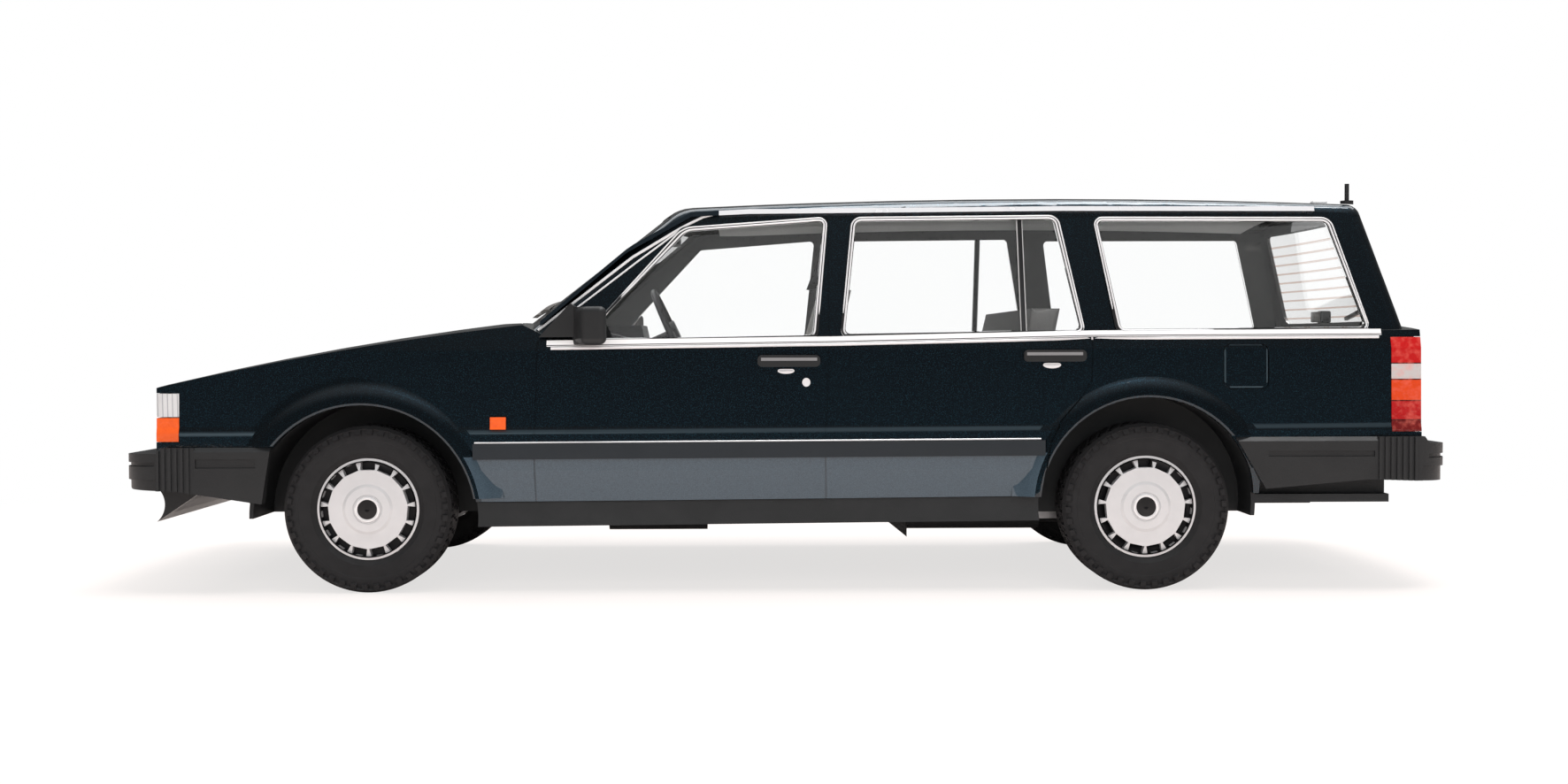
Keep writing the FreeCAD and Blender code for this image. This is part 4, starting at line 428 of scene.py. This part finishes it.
# a painted highlight along the fuel flap's square edge with its corners cut, on the left side only
flap_x, flap_z, flap_reach, flap_line, flap_corner = 90.4 * MM, 44.45 * MM, 4.15 * MM, 0.13 * MM, 7.4 * MM
left_side = -30.0 * MM
flap_along = sum_of("ABSOLUTE", sum_of("SUBTRACT", axes.outputs["X"], flap_x))
flap_up = sum_of("ABSOLUTE", sum_of("SUBTRACT", axes.outputs["Z"], flap_z))
off_edge = sum_of("ABSOLUTE", sum_of("SUBTRACT", sum_of("MAXIMUM", flap_along, flap_up), flap_reach))
within = sum_of("LESS_THAN", sum_of("ADD", flap_along, flap_up), flap_corner)
flap_highlight = sum_of("MULTIPLY", sum_of("LESS_THAN", off_edge, flap_line), within)
flap_highlight = sum_of("MULTIPLY", flap_highlight, sum_of("LESS_THAN", axes.outputs["Y"], left_side))
painted = blend_of(painted, (0.10, 0.15, 0.18), flap_highlight)
# the inner faces round the windows look towards the middle of the cabin
cabin_middle, cabin_foot, looks_in = (20 * MM, 0, 60 * MM), 49.5 * MM, -2 * MM
outward = nodes.new("ShaderNodeVectorMath")
outward.operation = "SUBTRACT"
outward.inputs[1].default_value = cabin_middle
links.new(place, outward.inputs[0])
facing = nodes.new("ShaderNodeVectorMath")
facing.operation = "DOT_PRODUCT"
links.new(outward.outputs["Vector"], facing.inputs[0])
links.new(nodes.new("ShaderNodeNewGeometry").outputs["Normal"], facing.inputs[1])
cabin_side = sum_of("MULTIPLY", sum_of("LESS_THAN", facing.outputs["Value"], looks_in),
                    sum_of("GREATER_THAN", axes.outputs["Z"], cabin_foot))
dull = sum_of("MAXIMUM", slate_reflection_band, cabin_side)
links.new(blend_of(painted, (0.085, 0.088, 0.085), cabin_side), shader.inputs["Base Color"])
links.new(sum_of("ADD", 0.34, sum_of("MULTIPLY", dull, 0.3)), shader.inputs["Roughness"])
links.new(sum_of("SUBTRACT", 0.92, sum_of("MULTIPLY", dull, 0.9)), shader.inputs["Metallic"])
orange_peel = nodes.new("ShaderNodeTexNoise")
orange_peel.inputs["Scale"].default_value = 1 / peel_size
links.new(place, orange_peel.inputs["Vector"])
peel = nodes.new("ShaderNodeBump")
peel.inputs["Distance"].default_value = peel_depth
links.new(orange_peel.outputs["Fac"], peel.inputs["Height"])
links.new(peel.outputs["Normal"], shader.inputs["Coat Normal"])
shader.inputs["Specular IOR Level"].default_value = 0.2
shader.inputs["Coat Weight"].default_value = 1.0
shader.inputs["Coat Roughness"].default_value = 0.03
dress(body_paint, "body_shell")

# Glazing.
# Clear polystyrene panes pushed in from inside the casting, flush with their bright frames. The
# tailgate's pane has printed heating wires.

clear = finish("clear_glass", (0.995, 0.998, 0.997), (0.988, 0.993, 0.992), 20, 0.010, 0.008, 6, 0.0001,
               Transmission_Weight=1.0, IOR=1.28)
dress(clear, "side_glass_left", "side_glass_right", "windscreen")
heated = clear.copy()
heated.name = "heated_glass"
nodes, links, axes = opened(heated)
wire_pitch, wire_share, wire_foot, wire_head = 2.1 * MM, 0.1, 54.5 * MM, 72.5 * MM
wire_phase = sum_of("FRACT", sum_of("DIVIDE", axes.outputs["Z"], wire_pitch))
wires = sum_of("MULTIPLY", sum_of("LESS_THAN", wire_phase, wire_share),
               sum_of("MULTIPLY", sum_of("GREATER_THAN", axes.outputs["Z"], wire_foot),
                      sum_of("LESS_THAN", axes.outputs["Z"], wire_head)))
colour_by(heated, wires, (0.50, 0.34, 0.28))
dress(heated, "tailgate_glass")

# Window dividers.
# A black channel with pale edges across each rear door window, in front of its fixed quarter pane.
# It is moulded in ABS and glued to the glass.

# how far the glass leans in for each millimetre of height, and the height that this is counted from
side_lean, lean_foot = 0.311, 48.5
divider_foot, divider_head, divider_skin = (46.8, 51.2), (46.75, 74.1), 46.06
divider_width, divider_depth, divider_round = 1.3 * MM, 0.5 * MM, 0.18 * MM
channel_rim, channel_depth, divider_x, pale_from = 0.25 * MM, 0.12 * MM, 46.78 * MM, 0.44 * MM
divider_black = finish("divider_black", (0.014, 0.014, 0.015), (0.010, 0.010, 0.011), 3, 0.4, 0.05, 0.2, 0.01,
                       Specular_IOR_Level=0.3)
nodes, links, axes = opened(divider_black)
edge_reach = sum_of("ABSOLUTE", sum_of("SUBTRACT", axes.outputs["X"], divider_x))
colour_by(divider_black, sum_of("GREATER_THAN", edge_reach, pale_from), (0.40, 0.40, 0.40))
for tag, side in (("left", -1), ("right", 1)):
    bpy.ops.mesh.primitive_cube_add(size=1, location=(0, 0, 0))
    divider = bpy.context.active_object
    divider.name = "window_divider_" + tag
    for vertex in divider.data.vertices:
        x, z = divider_foot if vertex.co.z < 0 else divider_head
        skin = divider_skin - side_lean * (z - lean_foot)
        vertex.co = (x * MM + (1 if vertex.co.x > 0 else -1) * divider_width / 2,
                     side * (skin * MM - (0 if vertex.co.y * side > 0 else divider_depth)), z * MM)
    edit(divider, "EDGE")
    pick(divider, edges=lambda middle, edge: abs(edge.verts[0].co.z - edge.verts[1].co.z) > 10 * MM)
    bpy.ops.mesh.bevel(offset=divider_round, segments=3)
    pick(divider, faces=lambda middle, face: face.normal.y * side > 0.9 and face.calc_area() > 8 * MM * MM)
    bpy.ops.mesh.inset(thickness=channel_rim, depth=-channel_depth)
    close_up(divider)
    smooth(divider, 40)
    divider.data.materials.append(divider_black)
    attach(divider, "root")

# Lamps.
# Clear, amber and red lens mouldings in front of plated bowls, each glued in its recess from inside.
# The clear ones are ribbed, and the tail lamps have four lenses above each other.

lens_clear = finish("lens_clear", (0.90, 0.90, 0.90), (0.80, 0.80, 0.81), 1.2, 0.08, 0.03, 0.9, 0.05,
                    Transmission_Weight=0.35, IOR=1.49)
nodes, links, axes = opened(lens_clear)
rib_pitch, rib_share = 0.95 * MM, 0.22
across = sum_of("ADD", axes.outputs["X"], axes.outputs["Y"])
rib = sum_of("LESS_THAN", sum_of("FRACT", sum_of("DIVIDE", across, rib_pitch)), rib_share)
colour_by(lens_clear, rib, (0.50, 0.51, 0.53))
amber = finish("lens_amber", (0.80, 0.115, 0.012), (0.66, 0.075, 0.008), 0.9, 0.2, 0.05, 0.5, 0.08,
               IOR=1.49)
red = finish("lens_red", (0.55, 0.012, 0.018), (0.40, 0.008, 0.012), 1.5, 0.16, 0.04, 0.7, 0.05, IOR=1.49)
nodes, links, axes = opened(red)
lens_joints, joint_half, patch_size = (33.7, 37.5, 41.7, 44.9), 0.12 * MM, 1.3 * MM
colour_by(red, sum_of("LESS_THAN", axes.outputs["Z"], lens_joints[0] * MM), (0.13, 0.007, 0.007))
for foot, colour in zip(lens_joints, ((0.36, 0.007, 0.008), (0.58, 0.050, 0.008), (0.47, 0.44, 0.43),
                                      (0.42, 0.007, 0.007))):
    colour_by(red, sum_of("GREATER_THAN", axes.outputs["Z"], foot * MM), colour)
for foot in lens_joints:
    off_joint = sum_of("ABSOLUTE", sum_of("SUBTRACT", axes.outputs["Z"], foot * MM))
    colour_by(red, sum_of("LESS_THAN", off_joint, joint_half), (0.05, 0.004, 0.004))
pattern = nodes.new("ShaderNodeTexNoise")
pattern.inputs["Scale"].default_value = 1 / patch_size
pattern.inputs["Detail"].default_value = 4
links.new(axes.inputs["Vector"].links[0].from_socket, pattern.inputs["Vector"])
patches = nodes.new("ShaderNodeMapRange")
patches.inputs["From Min"].default_value = 0.46
patches.inputs["From Max"].default_value = 0.72
patches.inputs["To Max"].default_value = 0.35
links.new(pattern.outputs["Fac"], patches.inputs["Value"])
colour_by(red, patches.outputs["Result"], (0.75, 0.16, 0.12))
bowl_chrome = finish("bowl_chrome", (0.80, 0.81, 0.83), (0.74, 0.75, 0.77), 2, 0.14, 0.03, 0.5, 0.01,
                     Metallic=1.0)
dress(lens_clear, "headlamp_left", "headlamp_right", "side_lamps")
dress(amber, "front_indicators", "side_repeaters")
dress(red, "tail_lamp_left", "tail_lamp_right")
dress(bowl_chrome, "headlamp_bowls")

# Bright trim and grille.
# Satin-plated mouldings: the belt line, drip rails and slatted grille, and two thin bright beads on
# the black frame of each window. They are pinned and glued to the casting.

bright = finish("bright_plate", (0.76, 0.76, 0.77), (0.68, 0.68, 0.69), 5, 0.24, 0.05, 0.3, 0.006,
                Metallic=0.15)
grille_dark = finish("grille_dark", (0.16, 0.165, 0.17), (0.10, 0.105, 0.11), 3, 0.3, 0.05, 0.2, 0.01,
                     Metallic=0.6)
frame_black = finish("frame_black", (0.84, 0.83, 0.83), (0.76, 0.76, 0.76), 5, 0.3, 0.05, 0.3, 0.006,
                     Metallic=0.1)
rail_bright = finish("rail_bright", (0.70, 0.71, 0.73), (0.62, 0.63, 0.65), 5, 0.26, 0.05, 0.3, 0.006,
                     Metallic=0.15)
nodes, links, axes = opened(frame_black)
# the belt rises in three straight runs, with a dark line of painted shade along the groove in its lower part,
# and all above it is black
belt_top, belt_bend, belt_end = 1.22 * MM, (9.3 * MM, 49.3 * MM), (60.1 * MM, 50.34 * MM)
front_rise, middle_rise, rear_rise, groove_z, groove_half = 0.0113, 0.0205, 0.0028, 0.2 * MM, 0.09 * MM
past_bend = sum_of("SUBTRACT", axes.outputs["X"], belt_bend[0])
past_end = sum_of("SUBTRACT", axes.outputs["X"], belt_end[0])
steeper = sum_of("MAXIMUM", sum_of("MULTIPLY", past_bend, front_rise),
                 sum_of("MULTIPLY", past_bend, middle_rise))
front_run = sum_of("ADD", steeper, belt_bend[1])
rear_run = sum_of("ADD", sum_of("MULTIPLY", past_end, rear_rise), belt_end[1])
over_belt = sum_of("SUBTRACT", axes.outputs["Z"], sum_of("MINIMUM", front_run, rear_run))
colour_by(frame_black, sum_of("GREATER_THAN", over_belt, belt_top), (0.014, 0.014, 0.015))
# painted shade in the belt's groove
off_groove = sum_of("ABSOLUTE", sum_of("SUBTRACT", over_belt, groove_z))
colour_by(frame_black, sum_of("LESS_THAN", off_groove, groove_half), (0.05, 0.05, 0.052))
nodes, links, axes = opened(rail_bright)
turned = nodes.new("ShaderNodeSeparateXYZ")
links.new(nodes.new("ShaderNodeNewGeometry").outputs["Normal"], turned.inputs["Vector"])
pillar_top = -13.6 * MM
on_pillar = sum_of("MAXIMUM", sum_of("LESS_THAN", turned.outputs["X"], -0.3),
                   sum_of("LESS_THAN", axes.outputs["X"], pillar_top))
colour_by(rail_bright, on_pillar, (0.004, 0.009, 0.014))
dress(frame_black, "window_trim_left", "window_trim_right")
dress(rail_bright, "drip_rail_left", "drip_rail_right")
dress(grille_dark, "grille")

# corners in side view, from the front foot round to the rear foot, in mm
window_corners = {
    "front_door": ((-40.68, 50.02), (-20.05, 71.59), (7.34, 73.67), (5.03, 50.74)),
    "rear_door": ((11.34, 50.98), (13.96, 73.59), (53.66, 73.91), (58.13, 51.62)),
    "cargo": ((66.13, 51.78), (62.44, 73.51), (108.91, 73.43), (115.18, 52.01)),
}
# how far outside the pane's edge each bead runs, and the radius of its section
bead_lines = (("inner", 0.28 * MM, 0.2 * MM), ("outer", 0.78 * MM, 0.16 * MM))
corner_reach, corner_steps, laying_reach = 1 * MM, 6, 1.2 * MM
frame_skin, rear_draw, rear_from, front_draw, front_from = 46.34, 0.023, 55.5, 0.008, 10.6


def skin_y(x, z):
    """Half the width over the frames at a place in side view, in mm, before a bead is laid on them."""
    drawn_in = rear_draw * max(0, x - rear_from) + front_draw * max(0, front_from - x)
    return frame_skin - side_lean * (z - lean_foot) - drawn_in


def hug(piece, node):
    """Lays a loop of edges on a CAD node, first across the car and then at the nearest place."""
    for method in ("PROJECT", "NEAREST_SURFACEPOINT"):
        wrap = piece.modifiers.new("wrap", "SHRINKWRAP")
        wrap.target, wrap.wrap_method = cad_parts[node], method
        if method == "PROJECT":
            wrap.use_project_y, wrap.use_negative_direction, wrap.use_positive_direction = True, True, True
            wrap.project_limit = laying_reach
        bpy.ops.object.modifier_apply(modifier="wrap")


def fill_out(piece, body):
    """Turns a line of edges into a round bead of that radius."""
    bpy.ops.object.convert(target="CURVE")
    piece.data.bevel_depth, piece.data.bevel_resolution, piece.data.use_fill_caps = body, 2, True
    bpy.ops.object.convert(target="MESH")
    smooth(piece, 60)


for tag, side in (("left", -1), ("right", 1)):
    for key, corners in window_corners.items():
        for kind, out, body in bead_lines:
            bpy.ops.mesh.primitive_plane_add(size=2, rotation=(math.pi / 2, 0, 0))
            bead = bpy.context.active_object
            bead.name = "window_bead_%s_%s_%s" % (key, kind, tag)
            bpy.ops.object.transform_apply(location=False, rotation=True, scale=False)
            middle_x = sum(x for x, z in corners) / 4
            middle_z = sum(z for x, z in corners) / 4
            for vertex in bead.data.vertices:
                x, z = next(corner for corner in corners if (corner[0] > middle_x) == (vertex.co.x > 0)
                            and (corner[1] > middle_z) == (vertex.co.z > 0))
                vertex.co = (x * MM + (out if x > middle_x else -out), side * skin_y(x, z) * MM,
                             z * MM + (out if z > middle_z else -out))
            edit(bead, "VERT")
            bpy.ops.mesh.select_all(action="SELECT")
            bpy.ops.mesh.bevel(offset=corner_reach + out, segments=corner_steps, affect="VERTICES")
            bpy.ops.mesh.delete(type="ONLY_FACE")
            bpy.ops.mesh.select_all(action="SELECT")
            bpy.ops.mesh.subdivide(number_cuts=3)
            bpy.ops.object.mode_set(mode="OBJECT")
            hug(bead, "window_trim_" + tag)
            fill_out(bead, body)
            bead.data.materials.append(bright)
            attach(bead, "root")

# the lower line of the belt, a bright bead of painted highlight along the top of each rub strip and bumper
# wing, and the rail's and the frame's lines up the screen pillar: the section's radius, and the places
# as x and z, in mm
long_lines = {
    "belt_line": (0.33, ((-46.5, 48.28), (9.3, 48.92), (60.1, 49.96), (117.0, 50.12))),
    # painted highlight: a bright bead along the top edge of each rub strip and bumper wing
    "strip_line": (0.2, ((-61.5, 29.76), (-30, 29.9), (22, 30.13), (49.8, 30.24))),
    "pillar_line": (0.3, ((-49.3, 51.85), (-30.9, 66.4), (-21.3, 72.3), (-16.8, 74.6), (-13.2, 75.5))),
    "frame_line": (0.2, ((-48.1, 51.3), (-29.9, 65.5), (-23.4, 70.4), (-20.4, 72.4))),
}
line_start_y, line_parts = 49.2 * MM, 4
for tag, side in (("left", -1), ("right", 1)):
    for key, (body, places) in long_lines.items():
        bpy.ops.mesh.primitive_plane_add(size=2)
        line = bpy.context.active_object
        line.name = "%s_%s" % (key, tag)
        edit(line, "VERT")
        bpy.ops.mesh.select_all(action="SELECT")
        bpy.ops.mesh.merge(type="CENTER")
        bpy.ops.mesh.select_all(action="SELECT")
        bpy.ops.transform.translate(value=(places[0][0] * MM, side * line_start_y, places[0][1] * MM))
        for (x, z), (next_x, next_z) in zip(places, places[1:]):
            for part in range(line_parts):
                bpy.ops.mesh.extrude_vertices_move(TRANSFORM_OT_translate={
                    "value": ((next_x - x) / line_parts * MM, 0, (next_z - z) / line_parts * MM)})
        bpy.ops.object.mode_set(mode="OBJECT")
        wrap = line.modifiers.new("wrap", "SHRINKWRAP")
        wrap.target, wrap.wrap_method, wrap.use_project_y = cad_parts["body_shell"], "PROJECT", True
        wrap.use_negative_direction, wrap.use_positive_direction = side > 0, side < 0
        bpy.ops.object.modifier_apply(modifier="wrap")
        fill_out(line, body * MM)
        line.data.materials.append(bright)
        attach(line, "root")

# Bumpers and black trim.
# Satin black ABS with a fine leather grain: bumpers, front spoiler, rub strips, handles, mirrors and
# aerial, each pinned into the casting. The wipers are grey; the spoiler's back faces are lightened grey
# with a painted reflection of the white floor.

satin_black = finish("satin_black", (0.022, 0.023, 0.024), (0.015, 0.016, 0.017), 7, 0.42, 0.06, 0.22, 0.025,
                     Specular_IOR_Level=0.25)
strip_black = finish("strip_black", (0.018, 0.023, 0.028), (0.012, 0.016, 0.020), 7, 0.30, 0.05, 0.25, 0.01,
                     Specular_IOR_Level=0.3)
wiper_grey = finish("wiper_grey", (0.16, 0.15, 0.14), (0.10, 0.095, 0.09), 3, 0.35, 0.06, 0.2, 0.01,
                    Metallic=0.3)
dress(satin_black, "front_bumper", "rear_bumper", "door_mirror_left", "door_mirror_right", "aerial")
dress(strip_black, "rub_strip_left", "rub_strip_right")
spoiler_black_reflected = satin_black.copy()
spoiler_black_reflected.name = "spoiler_black_reflected"
nodes, links = spoiler_black_reflected.node_tree.nodes, spoiler_black_reflected.node_tree.links
turned = nodes.new("ShaderNodeSeparateXYZ")
links.new(nodes.new("ShaderNodeNewGeometry").outputs["Normal"], turned.inputs["Vector"])
# painted reflection: faces turned to the rear are lightened as if mirroring the white floor
colour_by(spoiler_black_reflected, sum_of("GREATER_THAN", turned.outputs["X"], 0.2), (0.28, 0.275, 0.27))
dress(spoiler_black_reflected, "front_spoiler")
dress(wiper_grey, "wipers")
handle_black = satin_black.copy()
handle_black.name = "handle_black"
nodes, links, axes = opened(handle_black)
# the grip's insert, on the front handle and again on the rear one, which is further back and higher
grip_x, grip_z, grip_half, grip_half_length = 0.3 * MM, 46.05 * MM, 0.3 * MM, 5.5 * MM
doors_split, rear_back, rear_up = 25 * MM, 52.2 * MM, 0.92 * MM
rear = sum_of("GREATER_THAN", axes.outputs["X"], doors_split)
level = sum_of("SUBTRACT", axes.outputs["Z"], sum_of("ADD", grip_z, sum_of("MULTIPLY", rear, rear_up)))
along = sum_of("SUBTRACT", axes.outputs["X"], sum_of("ADD", grip_x, sum_of("MULTIPLY", rear, rear_back)))
insert = sum_of("MULTIPLY", sum_of("LESS_THAN", sum_of("ABSOLUTE", level), grip_half),
                sum_of("LESS_THAN", sum_of("ABSOLUTE", along), grip_half_length))
colour_by(handle_black, insert, (0.20, 0.20, 0.205))
dress(handle_black, "door_handles")

# Locks and pull plates.
# A small plated plate in the hand recess below each door handle, and the lock barrel of each front
# door, pressed into the casting.

door_y, plate_body, pull_top, rim_width, face_inset, face_step = 47.45, 0.5, 0.32, 0.16, 0.14, 0.1
for tag, side in (("left", -1), ("right", 1)):
    for key, x, z, wide, high in (("front_pull", -0.3, 43.75, 3.3, 1.15), ("rear_pull", 52.0, 44.75, 3.5, 1.3),
                                  ("lock", 3.67, 41.5, 1.6, 1.7)):
        bpy.ops.mesh.primitive_cylinder_add(vertices=32, radius=0.5, depth=1, rotation=(math.pi / 2, 0, 0))
        plate = bpy.context.active_object
        plate.name = "%s_%s" % (key, tag)
        bpy.ops.object.transform_apply(location=False, rotation=True, scale=False)
        for vertex in plate.data.vertices:
            vertex.co = (vertex.co.x * wide * MM, vertex.co.y * plate_body * MM, vertex.co.z * high * MM)
            if key != "lock" and vertex.co.z > 0:
                vertex.co.z = min(vertex.co.z, pull_top * high * MM)
        edit(plate)
        pick(plate, faces=lambda middle, face: face.normal.y * side > 0.9)
        bpy.ops.mesh.inset(thickness=rim_width * MM, depth=0)
        bpy.ops.mesh.inset(thickness=face_inset * MM, depth=(-face_step if key == "lock" else face_step) * MM)
        bpy.ops.object.mode_set(mode="OBJECT")
        bpy.ops.transform.translate(value=(x * MM, side * door_y * MM, z * MM))
        bpy.ops.object.transform_apply(location=True, rotation=False, scale=False)
        smooth(plate, 35)
        plate.data.materials.append(bright)
        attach(plate, "root")

# Roof and gate fittings.
# A small plated fitting on the left edge of the roof beside the aerial, and the black moulded pull
# with its grey foot on the inside of the gate. Each is pressed into its hole.

for key, x, y, z, sizes, rim, material, slot_name in (
        ("roof_fitting", 109.5, -30.0, 77.6, (3.0, 2.2, 1.0), 0.3, bright, "bright"),
        ("gate_pull", 113.6, -20.0, 54.3, (2.2, 3.4, 2.6), 0.4, satin_black, "satin_black"),
        ("gate_pull_foot", 112.0, -20.0, 54.3, (1.7, 2.6, 2.2), 0.3, wiper_grey, "satin_black")):
    bpy.ops.mesh.primitive_cube_add(size=1 * MM, location=(x * MM, y * MM, z * MM))
    fitting = bpy.context.active_object
    fitting.name = key
    fitting.scale = sizes
    bpy.ops.object.transform_apply(location=True, rotation=False, scale=True)
    edit(fitting)
    bpy.ops.mesh.select_all(action="SELECT")
    bpy.ops.mesh.bevel(offset=rim * MM, segments=4)
    close_up(fitting)
    smooth(fitting, 50)
    fitting.data.materials.append(material)
    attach(fitting, "root")

# Studio.
# A model car photographed from its left side, close up, on a seamless white sweep, with large soft
# lights above. The camera stands level with the door tops, 0.41 m from the middle of the car.

scene = bpy.context.scene
scene.view_settings.view_transform = "Standard"
focal_px, frame_px, sensor_mm = 2114.1, 1772.0, 36.0
camera_place = Vector((-0.0036, -0.4149, 0.0492))
camera_yaw, camera_pitch, camera_roll = math.radians(0.450), math.radians(-1.496), math.radians(-0.169)
forward = Vector((math.sin(camera_yaw) * math.cos(camera_pitch), math.cos(camera_yaw) * math.cos(camera_pitch),
                  math.sin(camera_pitch)))
level_right = forward.cross(Vector((0, 0, 1))).normalized()
level_up = level_right.cross(forward)
right = level_right * math.cos(camera_roll) + level_up * math.sin(camera_roll)
upward = level_up * math.cos(camera_roll) - level_right * math.sin(camera_roll)
camera_data = bpy.data.cameras.new("camera")
camera_data.sensor_width = sensor_mm
camera_data.lens = focal_px / frame_px * sensor_mm
camera_data.clip_start = 0.01
camera = bpy.data.objects.new("camera", camera_data)
camera.matrix_world = Matrix((right, upward, -forward)).transposed().to_4x4()
camera.location = camera_place
scene.collection.objects.link(camera)
scene.camera = camera

# name, place, aim, size and watts of each lamp; the fill lamp is kept out of the lacquer
for name, place, aim, size, watts in (
        ("top_softbox", (0, 0.32, 0.8), (0, 0, 0), (1.6, 0.5), 6.5),
        ("key_softbox", (0.17, -0.13, 0.92), (0.02, 0, 0.03), (0.55, 0.3), 7.0),
        ("front_fill", (0.0, -1.1, 0.45), (0, 0, 0.03), (1.6, 0.8), 7.0)):
    box = bpy.data.lights.new(name, "AREA")
    box.shape, box.size, box.size_y, box.energy = "RECTANGLE", size[0], size[1], watts
    lamp = bpy.data.objects.new(name, box)
    lamp.location = place
    lamp.rotation_euler = (Vector(aim) - Vector(place)).to_track_quat("-Z", "Y").to_euler()
    lamp.visible_glossy = name != "front_fill"
    scene.collection.objects.link(lamp)

world = bpy.data.worlds.new("studio")
scene.world = world
world.use_nodes = True
nodes, links = world.node_tree.nodes, world.node_tree.links
room = nodes["Background"]
ray = nodes.new("ShaderNodeLightPath")
sky = nodes.new("ShaderNodeTexCoord")
sky_axes = nodes.new("ShaderNodeSeparateXYZ")
links.new(sky.outputs["Generated"], sky_axes.inputs["Vector"])
# the room seen in the lacquer: dim at the level of the car, and paler towards the ceiling
ceiling = nodes.new("ShaderNodeMapRange")
ceiling.interpolation_type = "SMOOTHSTEP"
for socket, number in (("From Min", 0.45), ("From Max", 0.95), ("To Min", 0.10), ("To Max", 0.45)):
    ceiling.inputs[socket].default_value = number
links.new(sky_axes.outputs["Z"], ceiling.inputs["Value"])
room_light = 0.45
seen = sum_of("MAXIMUM", ray.outputs["Is Camera Ray"], ray.outputs["Is Transmission Ray"])
mirrored = sum_of("MULTIPLY", ray.outputs["Is Glossy Ray"], ceiling.outputs["Result"])
lighting = sum_of("MULTIPLY", ray.outputs["Is Diffuse Ray"], room_light)
strength = sum_of("ADD", seen, sum_of("ADD", mirrored, lighting))
links.new(sum_of("MINIMUM", strength, 1.0), room.inputs["Strength"])
room.inputs["Color"].default_value = (1, 1, 1, 1)

# the paper glows white from a little way off the car, and keeps the car's shadow near it
floor_size, near_reach, far_reach, near_glow = 1.1, 0.14, 0.30, 0.72
bpy.ops.mesh.primitive_plane_add(size=floor_size, location=(0, 0, 0))
floor = bpy.context.active_object
floor.name = "studio_floor"
sweep = bpy.data.materials.new("white_sweep")
sweep.use_nodes = True
nodes, links = sweep.node_tree.nodes, sweep.node_tree.links
paper = nodes["Principled BSDF"]
paper.inputs["Base Color"].default_value = (0.90, 0.80, 0.76, 1)
paper.inputs["Roughness"].default_value = 0.9
paper.inputs["Specular IOR Level"].default_value = 0.1
white = nodes.new("ShaderNodeEmission")
spot = nodes.new("ShaderNodeTexCoord")
away = nodes.new("ShaderNodeVectorMath")
away.operation = "LENGTH"
links.new(spot.outputs["Object"], away.inputs[0])
fade = nodes.new("ShaderNodeMapRange")
fade.interpolation_type = "SMOOTHSTEP"
fade.inputs["From Min"].default_value = near_reach
fade.inputs["From Max"].default_value = far_reach
fade.inputs["To Min"].default_value = near_glow
links.new(away.outputs["Value"], fade.inputs["Value"])
far_share = sum_of("DIVIDE", sum_of("SUBTRACT", fade.outputs["Result"], near_glow), 1 - near_glow)
# painted shade: near the car the glow is faintly warm, tinting the shadow there
links.new(blend_of((1.0, 0.985, 0.975), (1.0, 1.0, 1.0), far_share), white.inputs["Color"])
path = nodes.new("ShaderNodeLightPath")
seen = sum_of("MAXIMUM", path.outputs["Is Camera Ray"], path.outputs["Is Transmission Ray"])
cover = nodes.new("ShaderNodeMixShader")
links.new(sum_of("MULTIPLY", seen, fade.outputs["Result"]), cover.inputs["Fac"])
links.new(paper.outputs["BSDF"], cover.inputs[1])
links.new(white.outputs["Emission"], cover.inputs[2])
links.new(cover.outputs["Shader"], nodes["Material Output"].inputs["Surface"])
floor.data.materials.append(sweep)
floor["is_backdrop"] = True
bpy.ops.object.select_all(action="DESELECT")

# Sizes.
# The box of the dressed model, in metres.

low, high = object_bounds()
